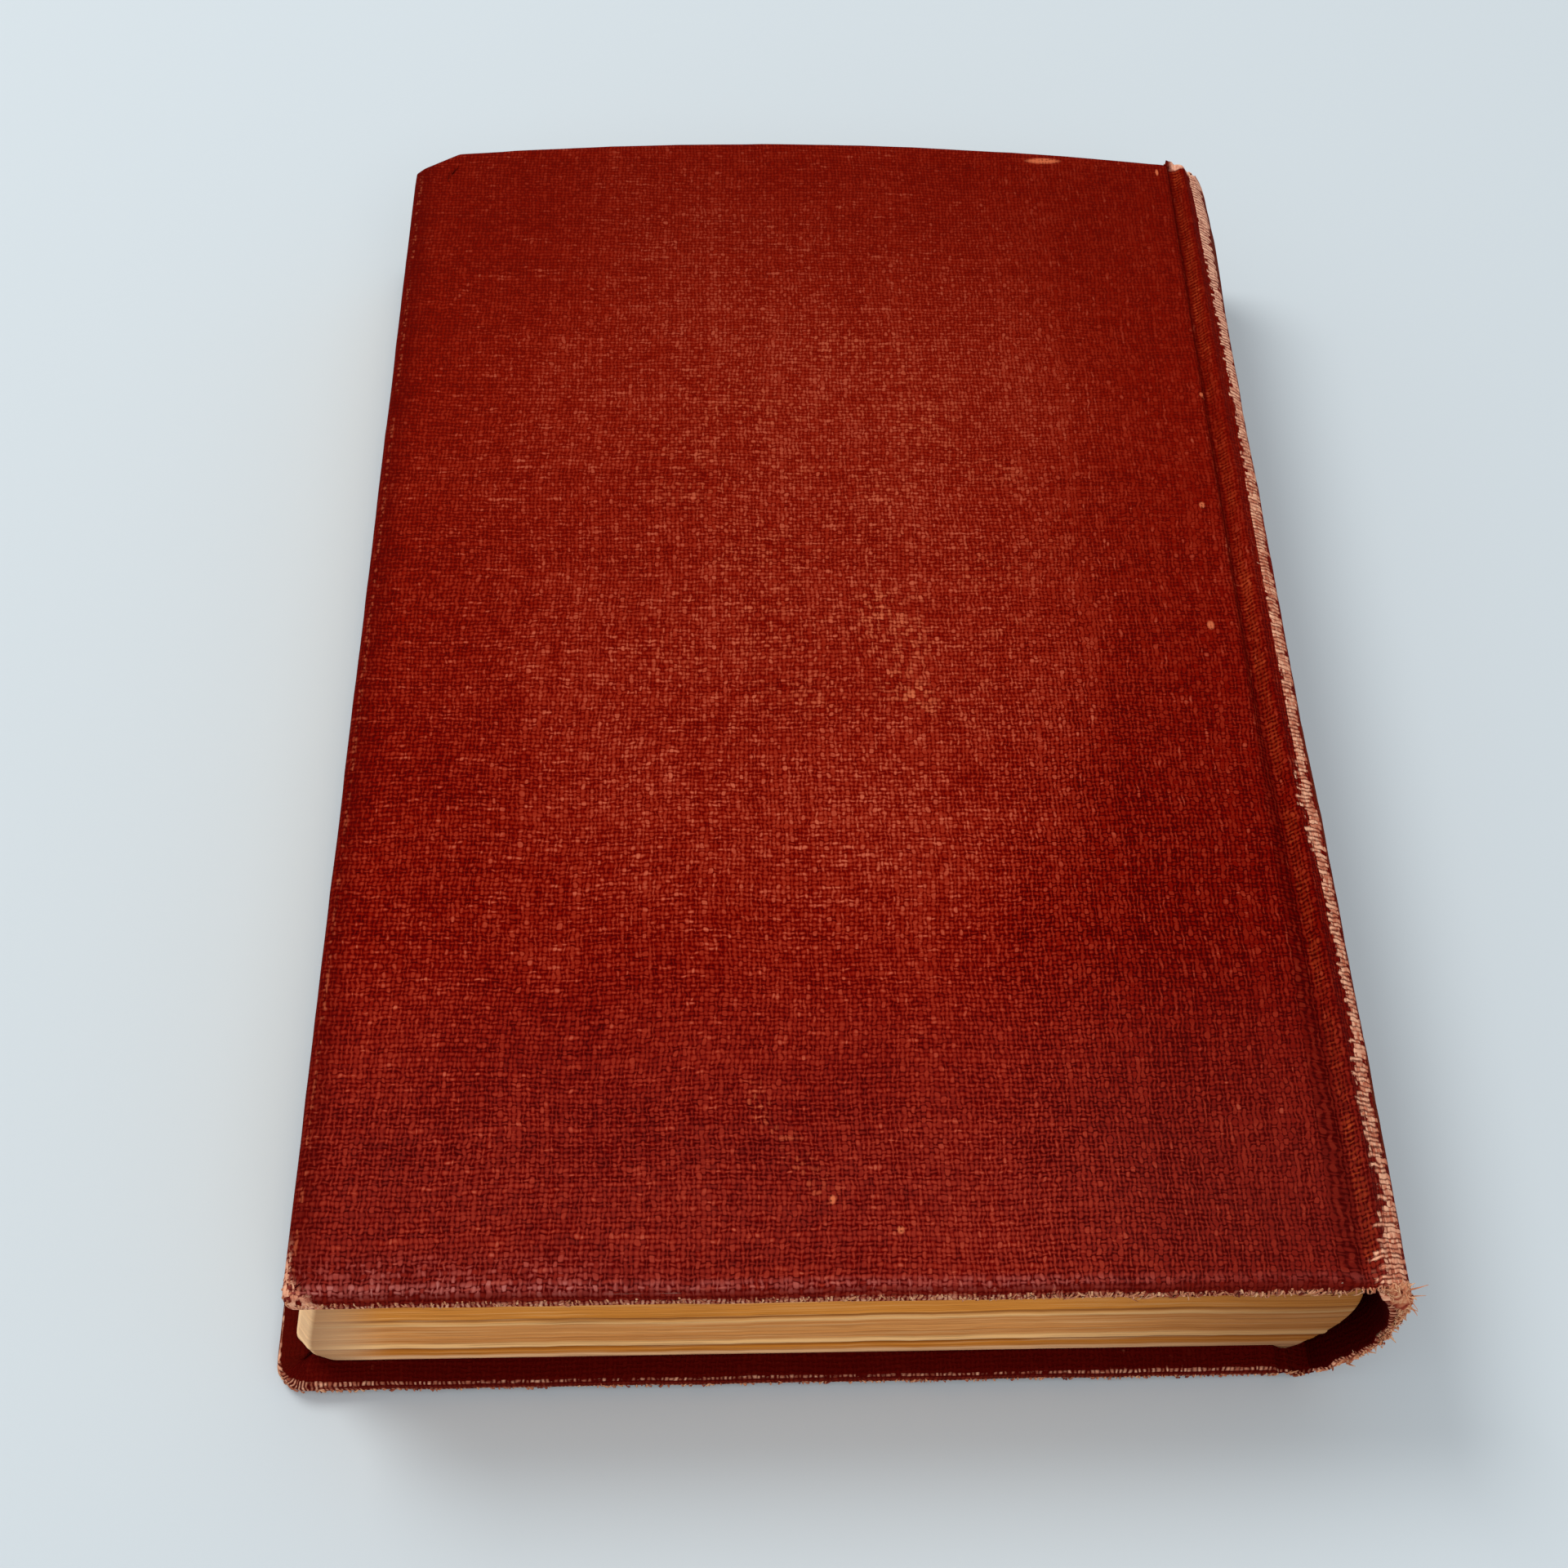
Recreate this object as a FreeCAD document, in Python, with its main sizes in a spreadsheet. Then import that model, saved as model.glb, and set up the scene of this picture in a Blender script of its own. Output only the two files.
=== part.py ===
import FreeCAD, Part
import math
import os

import Sketcher
from FreeCAD import Vector

os.makedirs("parts", exist_ok=True)
doc = FreeCAD.newDocument("hardback_book")

# A cloth-covered hardback that lies on its front cover, tail towards -Y, spine towards +X.
# The origin is the middle of the underside. Profiles are drawn in a corner frame whose zero is the
# front cover's fore-edge, tail edge and outer face, and "place" moves that corner to the origin.

SIZES = [
    ("cover_height", 192.7, "covers, tail edge to head edge"),
    ("cover_width", 116.0, "covers, fore-edge to the board's spine edge"),
    ("board_thick", 2.0, "grey board inside each cover"),
    ("cloth", 0.35, "book cloth"),
    ("paper", 0.12, "endpaper pasted to the board"),
    ("block_thick", 19.54, "leaves between the two covers"),
    ("lean", 4.05, "how far the cocked spine has pushed the back cover along"),
    ("tail_square", 2.8, "cover beyond the leaves at the tail"),
    ("head_square", 2.8, "cover beyond the leaves at the head"),
    ("fore_square", 1.9, "cover beyond the leaves at the fore-edge"),
    ("fore_hollow", 0.9, "depth of the concave fore-edge"),
    ("page_corner", 2.4, "worn corner of the leaves, tail fore-edge, cut off this far along both faces"),
    ("page_corner_round", 1.0, "rounding on both sides of that worn corner"),
    ("turn_in", 15.0, "cloth turned in over the board"),
    ("turn_in_arris", 0.5, "bevel rubbed along the cloth where it folds over the board's edges"),
    ("endpaper_margin", 4.6, "cloth left bare round the pasted endpaper"),
    ("joint_gap", 3.3, "board's spine edge to the ridge of the spine"),
    ("joint_dip", 0.9, "depth of the groove pressed along the joint"),
    ("hinge_lift", 0.15, "joint line above the cover's outer face"),
    ("spine_bulge", 6.8, "roundness of the spine between its two ridges"),
    ("ridge_round", 1.1, "rounding of the cloth over each ridge"),
    ("spine_wear", 1.3, "spine cloth's head end worn down below the covers"),
    ("inlay_thick", 0.7, "card strip that stiffens the spine cloth"),
    ("inlay_margin", 2.6, "card's long edges below each ridge"),
    ("lining_thick", 0.4, "paper glued over the back of the leaves"),
    ("lining_margin", 1.2, "lining's long edges inside the leaves' outer faces"),
    ("lining_inset", 3.0, "lining's ends inside the leaves' head and tail"),
    ("hollow", 1.9, "air between the lining and the spine's turned-in cloth"),
    ("shoulder_rise", 1.2, "leaves' shoulders above their outer faces"),
    ("shoulder_clear", 0.3, "shoulder to the board's spine edge and to the spine"),
    ("front_tail_corner", 3.5, "worn corner of the front cover, tail fore-edge"),
    ("front_head_corner", 1.5, "worn corner of the front cover, head fore-edge"),
    ("back_tail_corner", 1.2, "worn corner of the back cover, tail fore-edge"),
    ("clip_along", 6.2, "bumped corner of the back cover, head fore-edge, along the head"),
    ("clip_down", 4.4, "the same bumped corner, down the fore-edge"),
    ("clip_round", 2.4, "rounding on both sides of the bumped corner"),
    ("head_wear", 1.8, "back cover's head edge worn back at its two ends"),
    ("head_bow", 3.6, "back cover's head edge bowed out between its ends"),
]

sheet = doc.addObject("Spreadsheet::Sheet", "Sizes")
for row, (alias, size, meaning) in enumerate(SIZES, start=1):
    sheet.set(f"A{row}", meaning)
    sheet.set(f"B{row}", str(size))
    sheet.setAlias(f"B{row}", alias)
doc.recompute()

derived = doc.addObject("App::VarSet", "Derived")


def derive(name, formula, meaning):
    """A size worked out from the sheet and from earlier derived sizes."""
    derived.addProperty("App::PropertyFloat", name, "Sizes", meaning)
    derived.setExpression(name, formula)
    doc.recompute()


def value(formula):
    return float(derived.evalExpression(str(formula)))


derive("cover_thick", "2 * Sizes.cloth + Sizes.board_thick + Sizes.paper", "cover at its turned-in rim")
derive("thick", "2 * Derived.cover_thick + Sizes.block_thick", "whole book")
derive("turned_thick", "2 * Sizes.cloth + Sizes.board_thick", "cover without its endpaper")
derive("back_board_z", "Derived.thick - Sizes.cloth - Sizes.board_thick", "underside of the back board")
derive("back_turned_z", "Derived.thick - Derived.turned_thick", "underside of the back turn-ins")
derive("block_top", "Derived.thick - Derived.cover_thick", "upper face of the leaves")
derive("back_edge", "Sizes.lean + Sizes.cover_width", "back board's spine edge")
derive("front_groove", "Sizes.cover_width + Sizes.joint_gap / 2", "middle of the front joint")
derive("back_groove", "Sizes.lean + Derived.front_groove", "middle of the back joint")
derive("front_ridge", "Sizes.cover_width + Sizes.joint_gap", "lower ridge of the spine")
derive("back_ridge", "Sizes.lean + Derived.front_ridge", "upper ridge of the spine")

# The spine is one arc from ridge to ridge. Its chord leans with the cocked book.
derive("half_chord", "sqrt(Sizes.lean ^ 2 + Derived.thick ^ 2) / 2", "half the way from ridge to ridge")
derive("spine_radius",
       "(Derived.half_chord ^ 2 + Sizes.spine_bulge ^ 2) / (2 * Sizes.spine_bulge)", "outer arc")
derive("centre_back", "(Derived.spine_radius - Sizes.spine_bulge) / (2 * Derived.half_chord)",
       "arc's centre behind the chord, in chord lengths")
derive("centre_x", "(Derived.front_ridge + Derived.back_ridge) / 2 - Derived.centre_back * Derived.thick",
       "arc's centre")
derive("centre_z", "Derived.thick / 2 + Derived.centre_back * Sizes.lean", "arc's centre")
derive("inner_radius", "Derived.spine_radius - Sizes.cloth", "inside of the spine cloth")
derive("inlay_radius", "Derived.inner_radius - Sizes.inlay_thick", "inside of the card strip")
derive("turned_radius", "Derived.inlay_radius - Sizes.cloth", "inside of the spine's turned-in cloth")

# The groove's slope on each side, and where the spine cloth's inner side meets its inner arc.
derive("slope_run", "Sizes.joint_gap / 2", "groove's slope, level")
derive("slope_long", "sqrt(Derived.slope_run ^ 2 + Sizes.joint_dip ^ 2)", "groove's slope, along it")
derive("slope_cloth", "Sizes.cloth * Derived.slope_long / Derived.slope_run", "cloth on the slope, upright")
derive("back_dip_z", "Derived.thick - Sizes.joint_dip", "bottom of the back groove")
for side, groove, dip, rise in (
    ("front", "Derived.front_groove", "Sizes.joint_dip + Derived.slope_cloth", "-Sizes.joint_dip"),
    ("back", "Derived.back_groove", "Derived.back_dip_z - Derived.slope_cloth", "Sizes.joint_dip"),
):
    derive(f"{side}_dx", f"{groove} - Derived.centre_x", "groove from the arc's centre")
    derive(f"{side}_dz", f"{dip} - Derived.centre_z", "groove from the arc's centre")
    along = f"(Derived.{side}_dx * Derived.slope_run + Derived.{side}_dz * {rise}) / Derived.slope_long"
    derive(f"{side}_along", along, "groove's offset, along the slope")
    derive(f"{side}_reach",
           f"sqrt(Derived.{side}_along ^ 2 - Derived.{side}_dx ^ 2 - Derived.{side}_dz ^ 2"
           f" + Derived.inner_radius ^ 2) - Derived.{side}_along", "slope's length to the inner arc")
    derive(f"{side}_inner_x",
           f"{groove} + Derived.{side}_reach * Derived.slope_run / Derived.slope_long", "inner corner")
    derive(f"{side}_inner_z",
           f"{dip} + Derived.{side}_reach * {rise} / Derived.slope_long", "inner corner")

# The leaves' back: both shoulder tips keep their clearance to the spine's turned-in cloth.
derive("tip_radius", "Derived.turned_radius - Sizes.shoulder_clear - Sizes.lining_thick", "shoulder tips")
derive("low_tip_z", "Derived.cover_thick - Sizes.shoulder_rise", "lower shoulder")
derive("high_tip_z", "Derived.block_top + Sizes.shoulder_rise", "upper shoulder")
for side in ("low", "high"):
    derive(f"{side}_tip_x",
           f"Derived.centre_x + sqrt(Derived.tip_radius ^ 2"
           f" - (Derived.{side}_tip_z - Derived.centre_z) ^ 2)", "shoulder tip")
derive("tip_half",
       "sqrt((Derived.high_tip_x - Derived.low_tip_x) ^ 2"
       " + (Derived.high_tip_z - Derived.low_tip_z) ^ 2) / 2", "half the way from tip to tip")
derive("back_round",
       "Derived.turned_radius - Sizes.hollow - Sizes.lining_thick"
       " - sqrt(Derived.tip_radius ^ 2 - Derived.tip_half ^ 2)", "roundness of the leaves' back")
derive("back_radius",
       "(Derived.tip_half ^ 2 + Derived.back_round ^ 2) / (2 * Derived.back_round)", "leaves' back")
derive("back_centre_in", "(Derived.back_radius - Derived.back_round) / (2 * Derived.tip_half)",
       "its centre behind its chord, in chord lengths")
derive("back_centre_x",
       "(Derived.low_tip_x + Derived.high_tip_x) / 2"
       " - Derived.back_centre_in * (Derived.high_tip_z - Derived.low_tip_z)", "its centre")
derive("back_centre_z",
       "(Derived.low_tip_z + Derived.high_tip_z) / 2"
       " + Derived.back_centre_in * (Derived.high_tip_x - Derived.low_tip_x)", "its centre")
derive("fore_half", "sqrt(Sizes.lean ^ 2 + Sizes.block_thick ^ 2) / 2", "half the fore-edge's chord")
derive("fore_radius",
       "(Derived.fore_half ^ 2 + Sizes.fore_hollow ^ 2) / (2 * Sizes.fore_hollow)", "concave fore-edge")

derive("bow_half", "(Sizes.cover_width - Sizes.clip_along) / 2", "half the back cover's head edge")
derive("bow_radius", "(Derived.bow_half ^ 2 + Sizes.head_bow ^ 2) / (2 * Sizes.head_bow)", "head edge")
derive("back_height", "Sizes.cover_height - Sizes.head_wear", "back cover at its worn ends")
derive("clip_slant", "sqrt(1 / Sizes.clip_along ^ 2 + 1 / Sizes.clip_down ^ 2)", "bumped corner's slant")
derive("block_height", "Sizes.cover_height - Sizes.tail_square - Sizes.head_square", "leaves")

derive("spine_height", "Sizes.cover_height - Sizes.spine_wear", "spine cloth, tail to head")
derive("half_width", "(Derived.centre_x + Derived.spine_radius) / 2", "middle of the underside")
derive("half_height", "(Derived.back_height + Sizes.head_bow) / 2", "middle of the underside")


def origin_plane(body, role):
    return next(plane for plane in body.Origin.OriginFeatures if plane.Role == role)


def new_body(name):
    return doc.addObject("PartDesign::Body", name)


def arc_between(start, end, radius, bulge):
    """Arc from start to end; bulge is 1 where it swells to the right of its way, -1 to the left."""
    chord = end - start
    half = chord.Length / 2
    sagitta = radius - math.sqrt(radius ** 2 - half ** 2)
    sideways = Vector(chord.y, -chord.x, 0).normalize() * (bulge * sagitta)
    return Part.Arc(start, start + chord / 2 + sideways, end)


def draw_outline(sketch, corners, arcs):
    """Closed outline through corners given as formulas; arcs maps a side to its radius and bulge."""
    places = [Vector(value(x), value(y), 0) for x, y in corners]
    ends = []
    for side, start in enumerate(places):
        end = places[(side + 1) % len(places)]
        if side in arcs:
            radius, bulge = arcs[side]
            geometry = sketch.addGeometry(arc_between(start, end, value(radius), bulge), False)
            index = sketch.addConstraint(Sketcher.Constraint("Radius", geometry, value(radius)))
            sketch.setExpression(f"Constraints[{index}]", str(radius))
        else:
            geometry = sketch.addGeometry(Part.LineSegment(start, end), False)
        first = 1 if (sketch.getPoint(geometry, 1) - start).Length < 1e-6 else 2
        ends.append((geometry, first, 3 - first))
    for side, (geometry, first, _) in enumerate(ends):
        before, _, last = ends[side - 1]
        sketch.addConstraint(Sketcher.Constraint("Coincident", before, last, geometry, first))
        for direction, formula, place in zip(("DistanceX", "DistanceY"), corners[side],
                                             (places[side].x, places[side].y)):
            index = sketch.addConstraint(
                Sketcher.Constraint(direction, -1, 1, geometry, first, place))
            sketch.setExpression(f"Constraints[{index}]", str(formula))


def pad(body, name, corners, arcs, role, place, length):
    """Pad of an outline. place holds formulas for the outline's zero, in the corner frame."""
    sketch = body.newObject("Sketcher::SketchObject", name + "_outline")
    sketch.AttachmentSupport = (origin_plane(body, role), [""])
    sketch.MapMode = "FlatFace"
    x, y, z = place
    left = f"{x} - Derived.half_width"
    tail = f"{y} - Derived.half_height"
    if role == "XY_Plane":
        offsets = (left, tail, z)
    else:
        offsets = (left, z, f"-({tail})")
    for axis, formula in zip("xyz", offsets):
        sketch.setExpression(f"AttachmentOffset.Base.{axis}", str(formula))
    draw_outline(sketch, corners, arcs)
    doc.recompute()
    feature = body.newObject("PartDesign::Pad", name)
    feature.Profile = sketch
    feature.setExpression("Length", str(length))
    feature.Reversed = role != "XY_Plane"
    doc.recompute()
    return feature


def fillet(body, name, base, edges, radius):
    feature = body.newObject("PartDesign::Fillet", name)
    feature.Base = (base, edges)
    feature.setExpression("Radius", str(radius))
    doc.recompute()
    return feature


def edge_names(feature, wanted):
    """Names of the edges whose middle, in the corner frame, passes the wanted test."""
    corner = Vector(value("Derived.half_width"), value("Derived.half_height"), 0)
    names = []
    for number, edge in enumerate(feature.Shape.Edges, start=1):
        first, last = edge.ParameterRange
        if wanted(edge, edge.valueAt((first + last) / 2) + corner):
            names.append(f"Edge{number}")
    return names


def upright(edge):
    """An edge whose two ends stand one above the other."""
    first, last = (vertex.Point for vertex in edge.Vertexes)
    return Vector(first.x - last.x, first.y - last.y, 0).Length < 1e-6


def cut(name, base, tool):
    feature = doc.addObject("Part::Cut", name)
    feature.Base = base
    feature.Tool = tool
    feature.Refine = True
    doc.recompute()
    return feature


def fuse(name, *shapes):
    feature = doc.addObject("Part::MultiFuse", name)
    feature.Shapes = list(shapes)
    feature.Refine = True
    doc.recompute()
    return feature


class Cover:
    """Sizes of one cover, as formulas: where it lies, and how its corners are worn."""

    def __init__(self, side, left, levels, height, tail_corner, head_corner):
        self.side = side
        self.left = left
        self.board_z, self.wrap_z, self.window_z, self.rim_z, self.sunk_z, self.open_z = levels
        self.height = height
        self.tail_corner = tail_corner
        self.head_corner = head_corner


FRONT = Cover(
    "front", "0",
    ("Sizes.cloth", "0", "Derived.turned_thick - Sizes.cloth", "Derived.turned_thick",
     "Derived.turned_thick - Sizes.cloth", "Derived.turned_thick - Sizes.cloth + Sizes.paper"),
    "Sizes.cover_height", "Sizes.front_tail_corner", "Sizes.front_head_corner")
BACK = Cover(
    "back", "Sizes.lean",
    ("Derived.back_board_z", "Derived.back_turned_z", "Derived.back_turned_z", "Derived.block_top",
     "Derived.block_top", "Derived.block_top"),
    "Derived.back_height", "Sizes.back_tail_corner", None)


def clipped_leg(leg, other, inset):
    """One leg of the bumped corner, on a plan set in from the cover's edges."""
    return f"({leg} * (1 + {inset} * Derived.clip_slant - {inset} / {other}) - {inset})"


def cover_plan(body, name, cover, inset, z, length):
    """A cover's plan, set in on three sides. Its fore-edge corners are worn round, or bumped flat."""
    high = f"{cover.height} - {inset}"
    corners = [("Sizes.cover_width", inset), ("Sizes.cover_width", high), (inset, high), (inset, inset)]
    arcs = {}
    rounds = [(corners[3], cover.tail_corner), (corners[2], cover.head_corner)]
    if cover.head_corner is None:
        along = clipped_leg("Sizes.clip_along", "Sizes.clip_down", inset)
        down = clipped_leg("Sizes.clip_down", "Sizes.clip_along", inset)
        clipped = [(f"{inset} + {along}", high), (inset, f"{high} - {down}")]
        corners[2:3] = clipped
        arcs = {1: ("Derived.bow_radius", 1)}
        rounds[1:] = [(corner, "Sizes.clip_round") for corner in clipped]
    prism = pad(body, name, corners, arcs, "XY_Plane", (cover.left, "0", z), length)
    for number, ((x, y), radius) in enumerate(rounds):
        place = Vector(value(cover.left) + value(x), value(y), 0)

        def worn(edge, at):
            return upright(edge) and math.hypot(at.x - place.x, at.y - place.y) < 1e-3

        prism = fillet(body, f"{name}_corner_{number}", prism, edge_names(prism, worn),
                       f"{radius} - {inset}")
    return prism


def make_board(cover):
    body = new_body(f"{cover.side}_board")
    cover_plan(body, f"{cover.side}_board_plan", cover, "Sizes.cloth", cover.board_z, "Sizes.board_thick")
    return body


def make_cover_cloth(cover, board):
    """Cloth drawn over one board: outer face, three edges, turn-ins, and the slope into the joint."""
    side = cover.side
    wrap = new_body(f"{side}_wrap")
    prism = cover_plan(wrap, f"{side}_wrap_plan", cover, "0", cover.wrap_z, "Derived.turned_thick")
    low, high = value(cover.wrap_z), value(cover.wrap_z) + value("Derived.turned_thick")
    spine_edge = value(cover.left) + value("Sizes.cover_width")

    def arris(edge, at):
        flat = abs(at.z - low) < 1e-3 or abs(at.z - high) < 1e-3
        return flat and at.x < spine_edge - 1e-3

    bevel = wrap.newObject("PartDesign::Chamfer", f"{side}_wrap_arris")
    bevel.Base = (prism, edge_names(prism, arris))
    bevel.setExpression("Size", "Sizes.turn_in_arris")

    window = new_body(f"{side}_turn_in_window")
    pad(window, f"{side}_window",
        window_corners(cover, "Sizes.turn_in", "Sizes.joint_gap"), {}, "XY_Plane",
        (cover.left, "0", cover.window_z), "Sizes.cloth")

    slope = new_body(f"{side}_joint_slope")
    edge = "Sizes.cover_width"
    groove = f"{edge} + Derived.slope_run"
    if cover is FRONT:
        corners = [(edge, "0"), (groove, "Sizes.joint_dip"),
                   (groove, "Sizes.joint_dip + Derived.slope_cloth"), (edge, "Derived.slope_cloth")]
    else:
        corners = [(edge, "Derived.thick - Derived.slope_cloth"),
                   (groove, "Derived.back_dip_z - Derived.slope_cloth"),
                   (groove, "Derived.back_dip_z"), (edge, "Derived.thick")]
    pad(slope, f"{side}_slope", corners, {}, "XZ_Plane", (cover.left, "0", "0"), cover.height)

    hollowed = cut(f"{side}_wrap_hollowed", wrap, board)
    opened = cut(f"{side}_wrap_opened", hollowed, window)
    return fuse(f"{side}_cover_cloth", opened, slope)


def window_corners(cover, inset, past):
    """Rectangle set in on three sides and running past the board's spine edge."""
    high = f"{cover.height} - {inset}"
    far = f"Sizes.cover_width + {past}"
    return [(far, inset), (far, high), (inset, high), (inset, inset)]


def make_pastedown(cover):
    """Endpaper pasted down: it lies on the turn-ins and sinks to the board inside them."""
    side = cover.side
    rim = new_body(f"{side}_pastedown_rim")
    pad(rim, f"{side}_rim", window_corners(cover, "Sizes.endpaper_margin", "0"), {}, "XY_Plane",
        (cover.left, "0", cover.rim_z), "Sizes.paper")
    sunk = new_body(f"{side}_pastedown_sunk")
    pad(sunk, f"{side}_sunk", window_corners(cover, "Sizes.turn_in", "0"), {}, "XY_Plane",
        (cover.left, "0", cover.sunk_z), "Sizes.cloth + Sizes.paper")
    hollow = new_body(f"{side}_pastedown_hollow")
    pad(hollow, f"{side}_hollow", window_corners(cover, "(Sizes.turn_in + Sizes.paper)", "1"), {},
        "XY_Plane", (cover.left, "0", cover.open_z), "Sizes.cloth")
    return cut(f"{side}_pastedown", fuse(f"{side}_pastedown_full", rim, sunk), hollow)


def sector(name, centre, outer, inner, low, high, start, length):
    """Curved strip round a centre, between two radii, its long edges square to the strip."""
    body = new_body(name)
    centre_x, centre_z = centre

    def rim(radius, level):
        fraction = f"({level} - {centre_z}) / {outer}"
        return (f"{centre_x} + {radius} * sqrt(1 - ({fraction}) ^ 2)",
                f"{centre_z} + {radius} * {fraction}")

    corners = [rim(outer, low), rim(outer, high), rim(inner, high), rim(inner, low)]
    arcs = {0: (outer, 1), 2: (inner, -1)}
    pad(body, name + "_strip", corners, arcs, "XZ_Plane", ("0", start, "0"), length)
    return body


def make_spine_inlay():
    return sector("spine_inlay", ("Derived.centre_x", "Derived.centre_z"), "Derived.inner_radius",
                  "Derived.inlay_radius", "Sizes.inlay_margin", "Derived.thick - Sizes.inlay_margin",
                  "Sizes.cloth", "Derived.spine_height - 2 * Sizes.cloth")


def make_spine_cloth(inlay):
    """Spine cloth: both ridges and the arc between them, turned in over the card at head and tail."""
    body = new_body("spine_cloth_sheet")
    corners = [
        ("Derived.front_groove", "Sizes.joint_dip"),
        ("Derived.front_ridge", "0"),
        ("Derived.back_ridge", "Derived.thick"),
        ("Derived.back_groove", "Derived.back_dip_z"),
        ("Derived.back_groove", "Derived.back_dip_z - Derived.slope_cloth"),
        ("Derived.back_inner_x", "Derived.back_inner_z"),
        ("Derived.front_inner_x", "Derived.front_inner_z"),
        ("Derived.front_groove", "Sizes.joint_dip + Derived.slope_cloth"),
    ]
    arcs = {1: ("Derived.spine_radius", 1), 5: ("Derived.inner_radius", -1)}
    ribbon = pad(body, "spine_ribbon", corners, arcs, "XZ_Plane", ("0", "0", "0"), "Derived.spine_height")

    def along_at(places):
        return lambda edge, at: any(math.hypot(at.x - x, at.z - z) < 1e-3 for x, z in places)

    outer = [(value(x), value(z)) for x, z in (corners[1], corners[2])]
    inner = [(value(x), value(z)) for x, z in (corners[5], corners[6])]
    ribbon = fillet(body, "ridge_outside", ribbon, edge_names(ribbon, along_at(outer)), "Sizes.ridge_round")
    fillet(body, "ridge_inside", ribbon, edge_names(ribbon, along_at(inner)),
           "Sizes.ridge_round - Sizes.cloth")

    turned = []
    for end, start in (("tail", "0"), ("head", "Derived.spine_height - Sizes.turn_in")):
        layer = sector(f"spine_{end}_turn_in", ("Derived.centre_x", "Derived.centre_z"),
                       "Derived.inner_radius", "Derived.turned_radius", "Sizes.inlay_margin",
                       "Derived.thick - Sizes.inlay_margin", start, "Sizes.turn_in")
        turned.append(cut(f"spine_{end}_turned", layer, inlay))
    return fuse("spine_cloth", body, *turned)


def make_text_block():
    """Leaves as one solid: concave fore-edge, two shoulders, rounded back, all leaning one way."""
    body = new_body("text_block")
    corners = [
        ("Sizes.fore_square", "Derived.cover_thick"),
        ("Sizes.cover_width + Sizes.shoulder_clear", "Derived.cover_thick"),
        ("Derived.low_tip_x", "Derived.low_tip_z"),
        ("Derived.high_tip_x", "Derived.high_tip_z"),
        ("Derived.back_edge + Sizes.shoulder_clear", "Derived.block_top"),
        ("Sizes.lean + Sizes.fore_square", "Derived.block_top"),
    ]
    arcs = {2: ("Derived.back_radius", 1), 5: ("Derived.fore_radius", -1)}
    leaves = pad(body, "leaves", corners, arcs, "XZ_Plane", ("0", "Sizes.tail_square", "0"),
                 "Derived.block_height")
    tail = value("Sizes.tail_square")
    depth = value("Sizes.page_corner")
    middle = value("Sizes.cover_width") / 2
    rise = value("Sizes.block_thick")

    def standing(edge, at):
        heights = [vertex.Point.z for vertex in edge.Vertexes]
        return at.x < middle and max(heights) - min(heights) > rise / 2

    worn = body.newObject("PartDesign::Chamfer", "worn_page_corner")
    worn.Base = (leaves, edge_names(leaves, lambda edge, at: standing(edge, at) and abs(at.y - tail) < 1e-3))
    worn.setExpression("Size", "Sizes.page_corner")
    doc.recompute()
    sides = edge_names(worn, lambda edge, at: standing(edge, at) and at.y < tail + depth + 1)
    fillet(body, "worn_page_corner_round", worn, sides, "Sizes.page_corner_round")
    return body


def make_spine_lining():
    return sector("spine_lining", ("Derived.back_centre_x", "Derived.back_centre_z"),
                  "(Derived.back_radius + Sizes.lining_thick)", "Derived.back_radius",
                  "(Derived.cover_thick + Sizes.lining_margin)",
                  "(Derived.block_top - Sizes.lining_margin)",
                  "Sizes.tail_square + Sizes.lining_inset", "Derived.block_height - 2 * Sizes.lining_inset")


front_board = make_board(FRONT)
back_board = make_board(BACK)
front_cloth = make_cover_cloth(FRONT, front_board)
back_cloth = make_cover_cloth(BACK, back_board)
front_pastedown = make_pastedown(FRONT)
back_pastedown = make_pastedown(BACK)
spine_inlay = make_spine_inlay()
spine_cloth = make_spine_cloth(spine_inlay)
text_block = make_text_block()
spine_lining = make_spine_lining()

NODES = [front_board, back_board, front_cloth, back_cloth, front_pastedown, back_pastedown,
         spine_inlay, spine_cloth, text_block, spine_lining]

doc.recompute()
for item in doc.Objects:
    if "Invalid" in item.State or "Error" in item.State:
        raise RuntimeError(f"{item.Label} did not build: {item.State}")
for node in NODES:
    if node.Shape.isNull() or not node.Shape.isValid() or len(node.Shape.Solids) != 1:
        raise RuntimeError(f"{node.Label} is not one valid solid")
for node in NODES:
    node.Shape.exportStep(f"parts/{node.Label}.step")
    box = node.Shape.BoundBox
    print(f"{node.Label}: {node.Shape.Volume:.0f} mm3, x {box.XMin:.2f} to {box.XMax:.2f}, "
          f"y {box.YMin:.2f} to {box.YMax:.2f}, z {box.ZMin:.2f} to {box.ZMax:.2f}")
print("joint lines, x and z:",
      [round(value("Derived.front_groove - Derived.half_width"), 4), round(value("-Sizes.hinge_lift"), 4)],
      [round(value("Derived.back_groove - Derived.half_width"), 4),
       round(value("Derived.thick + Sizes.hinge_lift"), 4)])
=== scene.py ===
"""Looks of a worn hardback bound in coarse red book cloth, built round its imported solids.

The case's cloth, the leaves and the frayed threads are surfaces worked out in millimetres in the row frame.
The boards, card, lining and pasted endpapers keep their solids and get finishes.
"""

from functools import partialmethod
import bpy
import numpy as np
from mathutils import Matrix, Vector


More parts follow.
